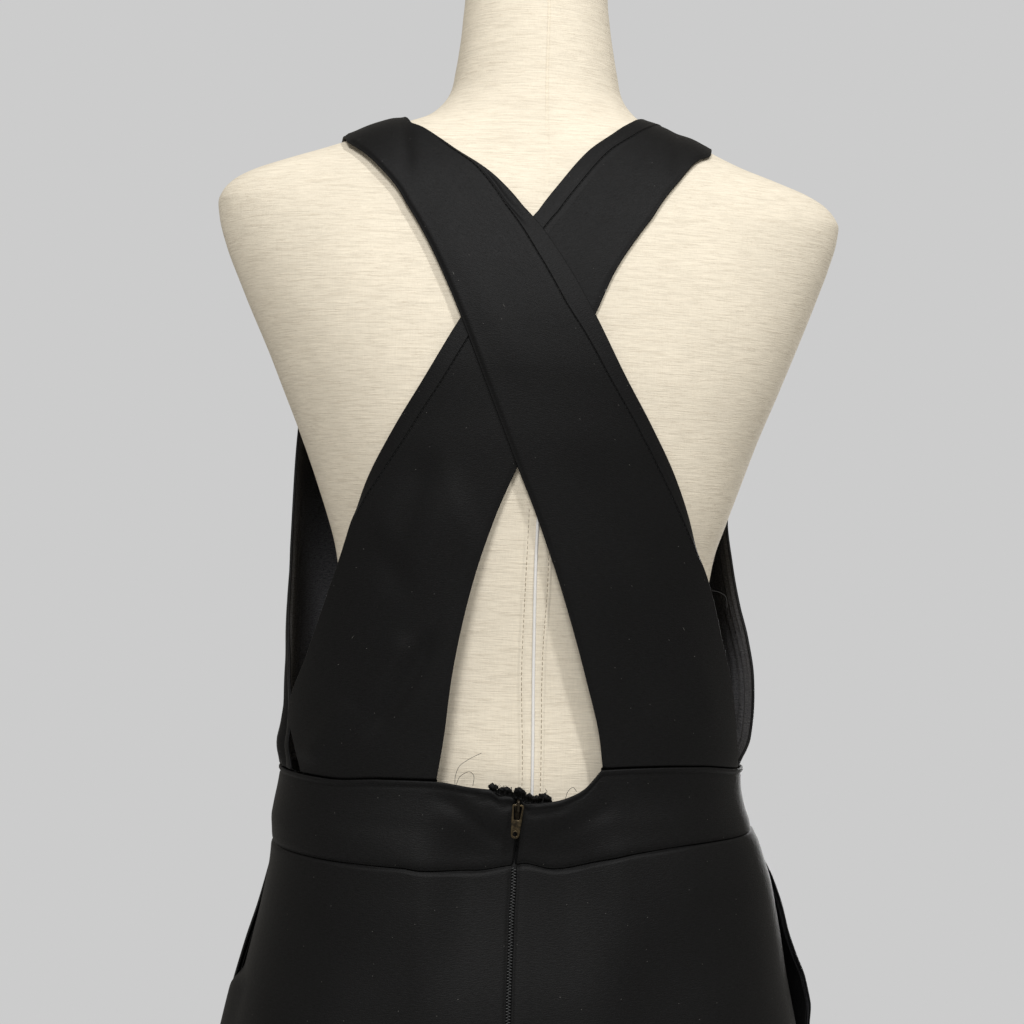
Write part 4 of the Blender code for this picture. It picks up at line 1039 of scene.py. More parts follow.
def lint_group():
    """Sparse specks and short fibres."""
    def fill(add, given):
        masks = []
        for scale, stretch, size, kept in ((70, (1, 1, 1), .019, .80),
                                           (46, (1, .16, 1), .009, .9)):
            place = add.stretched(given["Vector"], stretch)
            wobble = add.vector(add.times(add.noise(given["Vector"], 300, 1), .002))
            place = add("ShaderNodeVectorMath", {0: place, 1: wobble}, operation="ADD").outputs[0]
            cells = add("ShaderNodeTexVoronoi", {"Vector": place, "Scale": scale},
                        voronoi_dimensions="2D")
            speck = add.ramp(cells.outputs["Distance"], size * .6, size, 1, 0)
            lot = add("ShaderNodeSeparateColor", {0: cells.outputs["Color"]}).outputs[0]
            masks.append(add.times(speck, add.math("GREATER_THAN", lot, kept)))
        return {"Mask": add.times(add.math("MAXIMUM", *masks), given["Amount"])}
    return shader_group("lint", "Amount", .8, ("Mask",), fill)


def wear_group():
    """Blotches where a surface is rubbed or has darkened."""
    def fill(add, given):
        broad = add.noise(given["Vector"], given["Scale"], 4, .65)
        fine = add.noise(given["Vector"], add.times(given["Scale"], 6), 2)
        both = add.plus(add.times(broad, .75), add.times(fine, .25))
        return {"Mask": add.ramp(both, .40, .60), "Fine": fine}
    return shader_group("wear", "Scale", 100., ("Mask", "Fine"), fill)


def principled(name, **constants):
    """A material with uniform numbers on its shader's own sockets."""
    material = bpy.data.materials.new(name)
    material.use_nodes = True
    add, shader = Nodes(material.node_tree), material.node_tree.nodes["Principled BSDF"]
    add.feed(shader, {key.replace("_", " "): value for key, value in constants.items()})
    return material, add, shader


def knit_material(name="black_knit_fine", share=1., grain=1500.):
    """The knit in its own black, or a share of it, with lint, and with painted shade and highlight
    from its grain.
    """
    made = bpy.data.materials.get(name)
    if made:
        return made
    material, add, shader = principled(name, Specular_IOR_Level=.15, Sheen_Weight=.007,
                                       Sheen_Roughness=.5)
    where = add("ShaderNodeUVMap", uv_map="cloth").outputs[0]
    crepe = add.group(crepe_group(), Vector=where, Grain=grain)
    lint = add.group(lint_group(), Vector=where)
    # The crepe's tone carries painted shade and painted highlight from the grain's height.
    toned_and_shaded = add.scaled([c * share for c in colours().knit], crepe.outputs["Tone"])
    height = crepe.outputs["Height"]
    add.finish(shader, add.mixed(lint.outputs["Mask"], toned_and_shaded, (*colours().lint, 1)),
               add.ramp(height, .5, 1.2, .61, .51), height, .00022, .8)
    return material


def inside_painted_light_material():
    """The knit's wrong side, painted 29 times paler than the knit: painted light on inner faces
    that the lamps barely reach.
    """
    return knit_material("knit_inside", 29, 1300)


def linen_material():
    """Slubs and flecks that run round the form, over a plain weave."""
    material, add, shader = principled("linen_fine", Specular_IOR_Level=.25, Sheen_Weight=.05,
                                       Sheen_Roughness=.5)
    where = add.where()
    weft = add.noise(add.stretched(where, (80, 80, 1700)), 1, 2, .6)
    warp = add.noise(add.stretched(where, (1500, 1500, 90)), 1, 2, .6)
    slub = add.ramp(add.noise(add.stretched(where, (55, 55, 1250)), 1, 4, .72), .50, .70)
    fleck = add.ramp(add.noise(add.stretched(where, (230, 230, 1500)), 1, 3, .6), .59, .74)
    cloudy = add.ramp(add.noise(where, 11, 4), .3, .7, .945, 1.04)
    threads = add.plus(add.times(weft, .72), add.times(warp, .28))
    tone = add.times(cloudy, add.ramp(threads, .3, .7, .88, 1.10))
    dark = add.math("MINIMUM", add.plus(add.times(slub, .29), add.times(fleck, .34)), .55)
    add.finish(shader, add.mixed(dark, add.scaled(colours().linen, tone), (*colours().slub, 1)),
               add.ramp(threads, .3, .7, .82, .95), add.plus(threads, add.times(slub, .5)),
               .00030, .7)
    return material


def plain_material(name, colour, roughness, scale, other=None, bump=.00004, **constants):
    """Worn metal, paint, thread or plastic: two tones in blotches, with a fine bump."""
    material, add, shader = principled(name, **constants)
    wear = add.group(wear_group(), Vector=add.where(), Scale=scale)
    mask, other = wear.outputs["Mask"], other or [c * .72 for c in colour]
    add.finish(shader, add.mixed(mask, (*other, 1), (*colour, 1)),
               add.ramp(mask, 0, 1, min(roughness * 1.25, 1), roughness),
               wear.outputs["Fine"], bump)
    return material


def steel_material():
    """Brushed round the pole."""
    material, add, shader = principled("pole_steel_fine", Metallic=1., Anisotropic=.3)
    where = add.where()
    brushed = add.noise(add.stretched(where, (40, 40, 2200)), 1, 2)
    tone = add.ramp(brushed, .3, .7, .86, 1.08)
    add.finish(shader, add.scaled(colours().steel, tone),
               add.ramp(add.noise(where, 14, 4), .35, .65, .24, .40), brushed, .00003)
    return material


def geometry_tree(name, numbers, fill):
    """A geometry node group with named sizes; it realises its copies and sets their material."""
    tree = bpy.data.node_groups.get(name)
    if tree:
        return tree
    tree = bpy.data.node_groups.new(name, "GeometryNodeTree")
    for word, way, kind in (("Geometry", "INPUT", "Geometry"),
                            *((word, "INPUT", "Float") for word in numbers),
                            ("Material", "INPUT", "Material"), ("Geometry", "OUTPUT", "Geometry")):
        tree.interface.new_socket(word, in_out=way, socket_type="NodeSocket" + kind)
    add = Nodes(tree)
    given, result = add("NodeGroupInput").outputs, add("NodeGroupOutput")
    real = add("GeometryNodeRealizeInstances", {0: fill(add, given)}).outputs[0]
    rounded_off = add("GeometryNodeSetShadeSmooth", {0: real}).outputs[0]
    painted = add("GeometryNodeSetMaterial", {0: rounded_off, "Material": given["Material"]})
    add.feed(result, {0: painted.outputs[0]})
    return tree


def bead(add, thick, length, sides=6, rings=5):
    """A short rounded grain that lies along Z."""
    ball = add("GeometryNodeMeshUVSphere", {"Segments": sides, "Rings": rings, "Radius": .5})
    return add("GeometryNodeTransform", {"Geometry": ball.outputs[0],
                                         "Scale": add.vector(thick, thick, length)}).outputs[0]


def along_line(add, given, pitch):
    """Points at a pitch along a line of edges, with the turn that lays Z along it."""
    line = add("GeometryNodeMeshToCurve", {0: given["Geometry"]}).outputs[0]
    spaced = add("GeometryNodeResampleCurve", {"Curve": line, "Length": pitch}, mode="LENGTH")
    tangent = add("GeometryNodeInputTangent").outputs[0]
    turn = add("FunctionNodeAlignRotationToVector", {"Vector": tangent}, axis="Z").outputs[0]
    return spaced.outputs[0], turn


def stitch_tree():
    """One grain for each stitch."""
    def fill(add, given):
        points, turn = along_line(add, given, given["Pitch"])
        return add.copies(points, bead(add, given["Thickness"], given["Length"]), turn)
    return geometry_tree("stitches along a line", ("Pitch", "Length", "Thickness"), fill)


def coil_tree():
    """Zip teeth: slanted grains, left and right by turns."""
    def fill(add, given):
        points, _ = along_line(add, given, given["Pitch"])
        odd = add.math("MODULO", add("GeometryNodeInputIndex").outputs[0], 2.)
        side = add.math("MULTIPLY_ADD", odd, 2., -1.)
        slant = add("FunctionNodeAxisAngleToRotation", {
            "Axis": (0, 1, 0), "Angle": add.math("MULTIPLY_ADD", side, .16, math.pi / 2)})
        shift = add.vector(add.times(side, given["Offset"]))
        moved = add("GeometryNodeSetPosition", {"Geometry": points, "Offset": shift})
        grain = bead(add, given["Thickness"], given["Length"], 7, 6)
        return add.copies(moved.outputs[0], grain, slant.outputs[0])
    return geometry_tree("zip teeth", ("Pitch", "Length", "Thickness", "Offset"), fill)


def fray_tree():
    """Little loops of thread at random turns, along a raw edge."""
    def fill(add, given):
        points, _ = along_line(add, given, given["Pitch"])
        circle_kind = "GeometryNodeCurvePrimitiveCircle"
        ring = add(circle_kind, {"Resolution": 9, "Radius": given["Radius"]})
        profile = add(circle_kind, {"Resolution": 4})
        small = add("GeometryNodeTransform", {"Geometry": profile.outputs[0],
                                              "Scale": add.vector(*[given["Thickness"]] * 3)})
        loop = add("GeometryNodeCurveToMesh", {"Curve": ring.outputs[0],
                                               "Profile Curve": small.outputs[0]}).outputs[0]
        drawn = [add("FunctionNodeRandomValue", {0: [-c for c in most], 1: most, "Seed": seed},
                     data_type="FLOAT_VECTOR").outputs[0]
                 for most, seed in (((2.2, 2.2, 2.2), 7), ((.0007, .0007, .0008), 11))]
        grow = add("FunctionNodeRandomValue", {2: .45, 3: 1.15, "Seed": 3},
                   data_type="FLOAT").outputs[1]
        moved = add("GeometryNodeSetPosition", {"Geometry": points, "Offset": drawn[1]})
        return add.copies(moved.outputs[0], loop, drawn[0], grow)
    return geometry_tree("frayed loops", ("Pitch", "Radius", "Thickness"), fill)


def repeated(name, lines, tree, material, **numbers):
    """Run a geometry tree along lines of points, and keep the result as a plain mesh."""
    mesh = bpy.data.meshes.new(name)
    edges, points = [], []
    for line in lines:
        edges += [(i, i + 1) for i in range(len(points), len(points) + len(line) - 1)]
        points += [tuple(p) for p in line]
    mesh.from_pydata(points, edges, [])
    source = linked(name + "_line", mesh)
    modifier = source.modifiers.new(tree.name, "NODES")
    modifier.node_group = tree
    for item in tree.interface.items_tree:
        if item.in_out == "INPUT" and item.name == "Material":
            modifier[item.identifier] = material
        elif item.in_out == "INPUT" and item.name in numbers:
            modifier[item.identifier] = float(numbers[item.name])
    result = evaluated(source)
    result.name = name
    return settle(linked(name, result, material), "black_knit")


def stitches(name, lines):
    """A line of stitches, each a thread's thickness deep in the cloth's groove."""
    size = sizes()
    return repeated(name, lines, stitch_tree(), thread_material(), Pitch=size.stitch * 1.22,
                    Length=size.stitch, Thickness=size.thread)


def thread_material():
    return bpy.data.materials.get("black_thread") or plain_material(
        "black_thread", BLACK_THREAD, .6, 900, bump=.00002)


def line_on(lay, distance, kind="left", rows=slice(None)):
    """A line of stitches at a distance from one of a grid's edges, sunk in the cloth."""
    far, points, normal = getattr(lay, kind), lay.points, lay.normal
    if kind == "high":
        far, points, normal = far.T, points.transpose(1, 0, 2), normal.transpose(1, 0, 2)
    sunk_in = (points - normal * STITCH_SINK)[rows]
    distance = np.broadcast_to(distance, (len(sunk_in),))
    line = []
    for d, run, p in zip(distance, far[rows], sunk_in):
        order = np.argsort(run)
        line.append([np.interp(d, run[order], p[order, k]) for k in range(3)])
    return np.array(line)


def sheet(obj, area, node, pieces=(), slot="black_knit"):
    """Attach a cloth piece to the body and hide its solid; the size that it was cut to is not
    used.
    """
    settle(obj, slot, node)
    return obj


def form_rows():
    """Heights of the torso's rings, closest round the shoulders and the neck's rim."""
    spans = ((FORM[-1].z, .84, 14), (.84, SHOULDER_Z, 172), (SHOULDER_Z, 1.47, 60),
             (1.47, 1.555, 30), (1.555, FORM[0].z, 9))
    parts = [np.linspace(*span) for span in spans]
    return np.concatenate([parts[0]] + [part[1:] for part in parts[1:]])


def form_relief(x, z, back):
    """Height of the torso's seams: centre back, the placket with its stitches, the neck's rim."""
    seam = curve(FORM_SEAM)(z)
    left, right = curve(PLACKET_LEFT)(z), curve(PLACKET_RIGHT)(z)
    upper, whole = smooth((z - 1.19) / .02), smooth((1.215 - z) / .012) * back
    lift = -.0009 * bell(x - seam, .00085) * back * upper
    lift += .00025 * bell(x - seam, .0040) * back * upper
    lift += .0011 * (smooth((left - x) / .0011) * smooth((x - right) / .0011)) * whole
    for line, inside in ((left, -PLACKET_IN), (right, PLACKET_IN)):
        lift -= .0007 * bell(x - line - inside, .0008) * whole
    return lift - .0005 * bell(z - 1.5525, .0009)


def make_form():
    """The torso, with its centre back seam and the placket below the crossing."""
    rows = form_rows()
    turns = np.concatenate((np.linspace(-FINE_TURN, FINE_TURN, 81),
                            np.linspace(FINE_TURN, 2 * math.pi - FINE_TURN, 190)[1:-1]))
    turn, z = np.meshgrid(turns, rows)
    points = FORM_BLOCK.ring(turn, z)
    points[..., 0] *= 1 - form_slim(z) / FORM_BLOCK.half_width(z)
    drop = (.0042 * smooth((-points[..., 0] - .09) / .05)
            + .0020 * smooth((points[..., 0] - .09) / .05))
    points[..., 2] -= drop * smooth((z - SHOULDER_Z) / .022)
    points[..., 1] -= hollow(points[..., 0], z) * smooth(points[..., 1] / BACK_BLEND)
    points[..., 0] += form_shift(z)
    up = np.gradient(points, rows, axis=0)
    along = np.roll(points, -1, axis=1) - np.roll(points, 1, axis=1)
    normal = unit(np.cross(up, along))
    normal *= np.sign((normal[..., :2] * (points[..., :2] - (0, .01))).sum(-1, keepdims=True))
    points = points + normal * form_relief(points[..., 0], z, points[..., 1] > 0)[..., None]
    count, width = points.shape[:2]
    points = points.reshape(-1, 3)
    bm = bmesh.new()
    verts = [bm.verts.new(p) for p in points.tolist()]
    for quad in grid_quads(count, width, around=True).tolist():
        bm.faces.new([verts[i] for i in quad])
    for first, level in ((0, TORSO_LOW_Z), ((count - 1) * width, TORSO_TOP_Z)):
        ring = range(first, first + width)
        centre = points[ring].mean(0)
        inner = [bm.verts.new(mix(centre, points[i], .82) * (1, 1, 0) + np.array((0, 0, level)))
                 for i in ring]
        hub = bm.verts.new((*centre[:2], level))
        for i in range(width):
            j = (i + 1) % width
            bm.faces.new((verts[ring[i]], verts[ring[j]], inner[j], inner[i]))
            bm.faces.new((inner[i], inner[j], hub))
    bmesh.ops.recalc_face_normals(bm, faces=bm.faces)
    settle(linked("form_cloth", smooth_mesh("form_cloth", bm), linen_material()), "linen",
           "form_torso")
    make_placket()


def make_placket():
    """The white cord and the two rows of stitches down the form's back."""
    heights = np.linspace(.835, 1.203, 90)
    cord = plain_material("white_cord", tuple(colours().cord), .55, 700,
                          [c * .93 for c in colours().cord], Specular_IOR_Level=.3)
    settle(tube("form_cord", form_face(curve(FORM_CORD)(heights), heights) + (0, .0014, 0),
                .0010, cord, sides=10), "linen")
    thread = plain_material("linen_thread", LINEN_THREAD, .7, 900)
    heights = np.linspace(.83, 1.20, 120)
    lines = [form_face(curve(rows)(heights) + inside, heights) + (0, .00050, 0)
             for rows, inside in ((PLACKET_LEFT, -PLACKET_IN), (PLACKET_RIGHT, PLACKET_IN))]
    size = sizes()
    run = repeated("form_placket_stitches", lines, stitch_tree(), thread,
                   Pitch=size.stitch * 1.25, Length=size.stitch, Thickness=size.thread * 1.8)


def polyline(data, points, closed=False):
    spline = data.splines.new("POLY")
    spline.points.add(len(points) - 1)
    spline.use_cyclic_u = closed
    for point, p in zip(spline.points, points):
        point.co = (*p, 1)


def tube(name, points, radius, material, sides=8):
    """A round thread or cord along a line of points, closed at both ends."""
    data = bpy.data.curves.new(name, "CURVE")
    data.dimensions, data.bevel_depth, data.bevel_resolution = "3D", radius, max(sides // 4, 1)
    data.use_fill_caps = True
    polyline(data, points)
    return solid(name, data, material)


def solid(name, data, material, place=Matrix()):
    """A curve made into a closed, welded mesh, with its place in its points."""
    rough = evaluated(placed(name + "_curve", data))
    bm = bmesh.new()
    bm.from_mesh(rough)
    bpy.data.meshes.remove(rough)
    bmesh.ops.remove_doubles(bm, verts=bm.verts, dist=.000004)
    bmesh.ops.transform(bm, matrix=place, verts=bm.verts)
    bmesh.ops.recalc_face_normals(bm, faces=bm.faces)
    return linked(name, smooth_mesh(name, bm, 50), material)


def plate(name, outlines, thick, bevel, material, place):
    """A flat piece with rounded edges: a filled outline, with holes, given a thickness."""
    data = bpy.data.curves.new(name, "CURVE")
    data.dimensions, data.fill_mode = "2D", "BOTH"
    data.bevel_depth, data.bevel_resolution, data.extrude = bevel, 2, thick / 2 - bevel
    data.offset = -bevel
    for points in outlines:
        polyline(data, [(*p, 0) for p in points], closed=True)
    return solid(name, data, material, place)


def softened(profile, radius, steps=4):
    """A closed profile with its corners rounded, apart from those on the axis."""
    p, made = [Vector(q) for q in profile], []
    for i, corner in enumerate(p):
        if corner.x < 1e-6:
            made.append(corner)
            continue
        before, after = p[i - 1] - corner, p[(i + 1) % len(p)] - corner
        reach = min(radius, before.length * .45, after.length * .45)
        a, b = corner + before.normalized() * reach, corner + after.normalized() * reach
        for k in range(steps + 1):
            t = k / steps
            made.append(a * (1 - t) ** 2 + corner * 2 * t * (1 - t) + b * t * t)
    return made


def turned(name, profile, radius, material, slot, node, x=0., segments=96):
    """A turned piece: a closed half-section with soft corners, swept round."""
    points = softened(profile, radius)
    bm = bmesh.new()
    verts = [bm.verts.new((p.x, 0, p.y)) for p in points]
    edges = [bm.edges.new((a, b)) for a, b in zip(verts, verts[1:] + verts[:1])
             if a.co.x > 1e-6 or b.co.x > 1e-6]
    bmesh.ops.spin(bm, geom=verts + edges, cent=(0, 0, 0), axis=(0, 0, 1), angle=2 * math.pi,
                   steps=segments, use_merge=True)
    bmesh.ops.remove_doubles(bm, verts=bm.verts, dist=.00001)
    bmesh.ops.recalc_face_normals(bm, faces=bm.faces)
    bmesh.ops.translate(bm, vec=(x, 0, 0), verts=bm.verts)
    return settle(linked(name, smooth_mesh(name, bm, 35), material), slot, node)


def make_stand():
    r, h = BASE_RADIUS, BASE_HEIGHT
    top = FORM[-1].z - SEAM
    paint = plain_material("base_paint_fine", tuple(colours().paint), .42, 60,
                           [c * .8 for c in colours().paint], .00008, Coat_Weight=.15)
    turned("stand_base", [(0, 0), (r, 0), (r, h - .003), (r - .004, h), (.052, h),
                          (.050, h - .0006), (.047, h - .0006), (.045, h), (0, h)],
           .0012, paint, "base_paint", "form_base", segments=144)
    turned("stand_pole", [(0, h + SEAM), (POLE_RADIUS, h + SEAM), (POLE_RADIUS, top), (0, top)],
           .0004, steel_material(), "pole_steel", "form_pole", POLE_X)
    a, b = POLE_RADIUS + SEAM, .026
    turned("stand_collar", [(a, top - .024), (a + .006, top - .024), (b, top - .018),
                            (b, top - .010), (b - .0012, top - .009), (b - .0012, top - .007),
                            (b, top - .006), (b, top), (a, top)],
           .0010, paint, "base_paint", "form_collar", POLE_X)
    turned("stand_socket", [(a, h + SEAM), (b + .004, h + SEAM), (b + .004, h + .005),
                            (a + .009, h + .012), (a + .006, h + .026), (a, h + .026)],
           .0014, paint, "base_paint", "form_socket", POLE_X)


def make_strap(name, node, neck_rows, arm_rows, lifted, folds, hem_rows):
    """A back strap, with a hem along its neck edge that narrows to nothing."""
    hem = curve(hem_rows)
    lay = Lay(strap_place(neck_rows, arm_rows, lifted), 200, 46, HEM_LANES, EDGE_LANES,
              share=lambda v: hem(mix(STRAP_FOOT, STRAP_END, v)))
    share = lay.share[:, None]
    strength = smooth((share - .12) / .3)
    width = sizes().hem * share
    crease = folded(lay.points, folds) + tucked(lay.low)
    crease += -(.0011 if lifted else .0004) * (1 - smooth(lay.right / .0036))
    below = 1 - smooth((lay.points[..., 2] - 1.21) / .14)
    edge = .0013 if lifted else .0009
    crease += rolled(lay.left, width, edge + .0014 * below) * strength
    obj = knitted(name, [shell(lay, hemmed(lay.left, width, strength), crease)])
    lay.raise_by(crease)
    rows = np.nonzero(lay.share > .30)[0]
    seam = stitches(name + "_stitches",
                    [line_on(lay, (width[:, 0] - STITCH_IN)[rows], "left", rows)])
    return sheet(obj, lay.area(), node, pieces=[seam])


def make_straps():
    make_strap("strap_under", "strap_right", UNDER_NECK, UNDER_ARM, 0., UNDER_FOLDS, UNDER_HEM)
    make_strap("strap_over", "strap_left", TOP_NECK, TOP_ARM, STRAP_LIFT, TOP_FOLDS, OVER_HEM)


def make_bodice():
    """Both halves of the front, joined below the neckline's point."""
    point = (V_POINT_Z - BODICE_FOOT) / (BODICE_END - BODICE_FOOT)
    shells, lines, area, v = [], [], 0., None
    width = sizes().hem
    for side in (1, -1):
        lay = Lay(front_place(side), 150, 62, HEM_LANES, HEM_LANES,
                  inset=lambda v: (v > point) * 1., spine=.25, v=v)
        v = lay.v[:, 0]
        joined = int(np.nonzero(v <= point)[0][-1])
        lay.points[:joined + 1, 0, 0] = 0
        lay.measure()
        middle = (slice(0, joined + 1), 0)
        lay.along[middle] = (side, 0, 0)
        for vectors in (lay.up, lay.normal):
            vectors[middle] = unit(vectors[middle] * (0, 1, 1))
        x, y, z = np.moveaxis(lay.points, -1, 0)
        above = smooth((z - V_POINT_Z + .001) / .004)
        turn = np.arctan2(x * side, -y)
        ripple = np.sin(lay.right / .0165 * 2 * math.pi + 1.9 + 6 * (z - 1.1))
        near = smooth((turn - 1.15) / .35) * smooth((1.23 - z) / .05)
        gathered = .25 + .75 * smooth(lay.low / .014)
        drape = folded(lay.points, BODICE_FOLDS) * (y < 0)
        drape = drape + .0020 * ripple * near * gathered * smooth(lay.right / .012)
        drape = drape + tucked(lay.low) + sunk(lay.high)
        hem = hemmed(lay.left, width) * above + hemmed(lay.right, width)
        shells.append(shell(lay, hem, drape, joined=joined))
        area += lay.area()
        lay.raise_by(drape)
        lines.append(line_on(lay, width - STITCH_IN, "right"))
        lines.append(line_on(lay, width - STITCH_IN, "left", slice(joined + 3, None)))
    obj = knitted("bodice", shells, weld=True)
    seam = stitches("bodice_stitches", lines)
    sheet(obj, area, "bodice_front", pieces=[seam])


def band_lay(start, end, columns):
    return Lay(lambda t, v: band_place(mix(start, end, t), v), 22, columns)


def rim_of_band(lay):
    """The fold along the waistband's top stands up, with a hollow under it."""
    return .0008 * (1 - smooth((lay.high - .0014) / .0014)) - .0005 * bell(lay.high - .0031, .0009)


def make_band():
    """Three lengths of waistband; the two at the back show their raw edge above the zip."""
    for word, side in (("left", 1), ("right", -1)):
        lay = band_lay(side * 1e-6, side * (math.pi / 2 - SEAM_HALF_TURN), 118)
        x = lay.points[..., 0]
        pucker = np.sin(x * 1000 / 2.9 + 1) * bell(lay.high, .006)
        lift = folded(lay.points, BAND_FOLDS) + sunk(lay.low, lay.right)
        lift += .00040 * pucker * bell(x, .030)
        lip = .0005 * bell(lay.left - .0013, .0008) - .0010 * (1 - smooth(lay.left / .0010)) ** 2
        obj = knitted("band_back_" + word, [shell(lay, rim_of_band(lay), lift + lip)])
        sheet(obj, lay.area(), "waistband_back_" + word,
              pieces=make_raw_edge(word, side))
    lay = band_lay(math.pi / 2 + SEAM_HALF_TURN, 1.5 * math.pi - SEAM_HALF_TURN, 190)
    obj = knitted("band_front", [shell(lay, rim_of_band(lay),
                                       sunk(lay.low, lay.left, lay.right))])
    sheet(obj, lay.area(), "waistband_front")


def crumpled(path, radii, seed, sides=26, count=72):
    """A rolled, creased bit of raw edge: a lumpy closed tube with round ends."""
    line = through(path, count) / 1000
    t = np.linspace(0, 1, count)
    reach = np.interp(t, np.linspace(0, 1, len(radii)), radii) / 1000
    reach = reach * np.clip(1 - np.abs(2 * t - 1) ** 5, 0, 1) ** .5
    along = unit(np.gradient(line, axis=0))
    across = unit(np.cross(along, (0, 1, 0)))
    out = np.cross(across, along)
    turn = np.linspace(0, 2 * math.pi, sides + 1)[:-1]
    t = t[:, None]
    wobble = 1.34 + .17 * np.sin(turn + 7 * t + 3.1 * seed)
    for depth, lobes, twist, start, power in CRUMPLES:
        wobble = wobble - depth * np.abs(np.sin(lobes * turn + twist * t + start * seed)) ** power
    ring = (across[:, None] * np.cos(turn)[None, :, None]
            + out[:, None] * .8 * np.sin(turn)[None, :, None])
    points = line[:, None] + ring * (reach[:, None] * wobble)[..., None]
    quads = grid_quads(count, sides, around=True)[:, (0, 3, 2, 1)]
    uv = np.stack(np.broadcast_arrays(turn * .002, t * .02), axis=-1)
    return points.reshape(-1, 3), quads, uv.reshape(-1, 2), np.zeros(len(quads), np.int32)


def make_raw_edge(word, side):
    """What is left of the seam allowance, rolled over behind the waistband's top edge."""
    rolls = [crumpled(path, radii, k + 1) for k, (path, radii) in enumerate(RAW_ROLLS[side])]
    top = np.array(sorted(p for path, _ in RAW_ROLLS[side] for p in path)) / 1000

    def place(u, v):
        x = mix(top[0, 0], top[-1, 0], u)
        z = np.interp(x, top[:, 0], top[:, 2]) - .0006
        wave = .0005 * np.sin(x * 1900 + 2 * v) + .0003 * np.sin(x * 4300)
        y = mix(CLOTH_BLOCK.back_y(z) - .0026, .0963, v) + wave
        return np.stack(np.broadcast_arrays(x, y, mix(band_top(x) - .0045, z, v)), axis=-1)
    rolls.append(shell(Lay(place, 8, 40), thick=.0010))
    obj = mesh_object("raw_edge_" + word, rolls, knit_material("raw_knit", .7, 1500), weld=True)
    fray = repeated("raw_fray_" + word,
                    [through(path, 30) / 1000 + (0, .0006, max(radii) * .00055)
                     for path, radii in RAW_ROLLS[side]],
                    fray_tree(), thread_material(), Pitch=.0008, Radius=.00070, Thickness=.00010)
    return [settle(obj, "black_knit"), fray]


def make_shorts():
    """Two back and two front panels; the left back one closes the pocket's mouth lower down."""
    panels = [(word, side, face, facing) for word, side in (("left", 1), ("right", -1))
              for face, facing in (("back", 1), ("front", -1))]
    for word, side, face, facing in panels:
        lay = Lay(shorts_place(side, facing), 112, 92, head=TURN_UP_LANES, spine=.7)
        z = lay.points[..., 2]
        if (side, facing) == (1, 1):
            closing = smooth((.899 - z) / .014) * (gape[1](z) + .0010 * (z > MOUTH_END_Z))
            lay.points[..., 0] += closing * (1 - smooth(lay.right / .034))
            lay.measure()
        inside = smooth(lay.left / .03) * smooth(lay.right / .03)
        lift = (folded(lay.points, SHORTS_FOLDS[facing]) * (smooth((z - .655) / .05) * .5 + .5)
                * inside + tucked(lay.low))
        lift -= .0007 * (1 - smooth(lay.left / .0030)) ** 1.5
        lift -= .0005 * (1 - smooth(lay.right / .0026)) ** 1.5
        fluted = smooth((.86 - z) / .16) * .0022 * np.sin(lay.left / .052 * math.pi)
        lift += fluted * inside * (smooth((z - CROTCH_Z) / .03) * .3 + .7)
        turned_up = hemmed(lay.high, sizes().turn_up)
        name = f"shorts_{face}_{word}"
        obj = knitted(name + "_cloth", [shell(lay, turned_up, lift)])
        lay.raise_by(lift)
        line = line_on(lay, sizes().turn_up - STITCH_IN, "high", slice(1, -1))
        seam = stitches(name + "_stitches", [line])
        sheet(obj, lay.area(), name, pieces=[seam])


def make_pockets():
    """Each pocket bag hangs inside the front panel, open along the side seam."""
    for word, side in (("left", 1), ("right", -1)):
        shells = []
        for outer_side, depth in ((True, POCKET_UNDER), (False, POCKET_UNDER + POCKET_APART)):
            def place(u, v, outer_side=outer_side, depth=depth):
                z = mix(MOUTH_END_Z - .010, MOUTH_TOP_Z + .010, v)
                if outer_side:
                    at = INNER + (1 - INNER) * mix(.50, .995, u)
                    point = lambda a, b: shorts_point(side, -1, a, b)
                else:
                    at = mix(-.50, .080, u)
                    point = lambda a, b: leaned(
                        CLOTH_BLOCK.ring(side * (math.pi / 2 - a * .95), b))
                slope_u = point(at + .004, z) - point(at - .004, z)
                slope_z = point(at, z + .002) - point(at, z - .002)
                normal = unit(np.cross(slope_u, slope_z))
                normal = normal * np.sign(normal[..., :1]) * side
                return point(at, z) - normal * depth
            lay = Lay(place, 60, 50)
            shells.append(shell(lay, thick=POCKET_SKIN))
        obj = mesh_object("pocket_bag_" + word, shells, knit_material("pocket_knit", 1.15, 1100))
        sheet(obj, 2 * lay.area(), "pocket_" + word)


def make_zip():
    """Tape and teeth in the groove, and the slider with its pull."""
    heights = np.linspace(ZIP_END_Z - .006, 1.0088, 66)
    face, normal = zip_face(heights)
    below = (heights > ZIP_END_Z + .0115) & (heights < .9835)
    share = np.linspace(0, 1, len(heights))

    def tape_place(u, v):
        at, away = (np.stack([np.interp(v, share, rows[:, k]) for k in range(3)], axis=-1)
                    for rows in (face, normal))
        x = mix(TAPE_HALF, -TAPE_HALF, u)
        bow = .0026 + .0004 * (x / TAPE_HALF) ** 2
        return at + np.stack((x, 0 * x, 0 * x), axis=-1) - away * bow[..., None]
    lay = Lay(tape_place, 60, 16)
    obj = mesh_object("zip_tapes", [shell(lay, thick=.0006)],
                      knit_material("zip_tape_fine", 1.5, 2600))
    sheet(obj, lay.area(), "zip_chain", slot="zip_tape")
    teeth = plain_material("zip_teeth", TEETH, .34, 1500, TEETH_DARK, .00002,
                           Specular_IOR_Level=.5)
    line = (face - normal * .0012)[below]
    teeth = repeated("zip_teeth", [line], coil_tree(), teeth, Pitch=sizes().coil / 2,
                     Length=.0023, Thickness=.00078, Offset=.00070)
    make_slider()


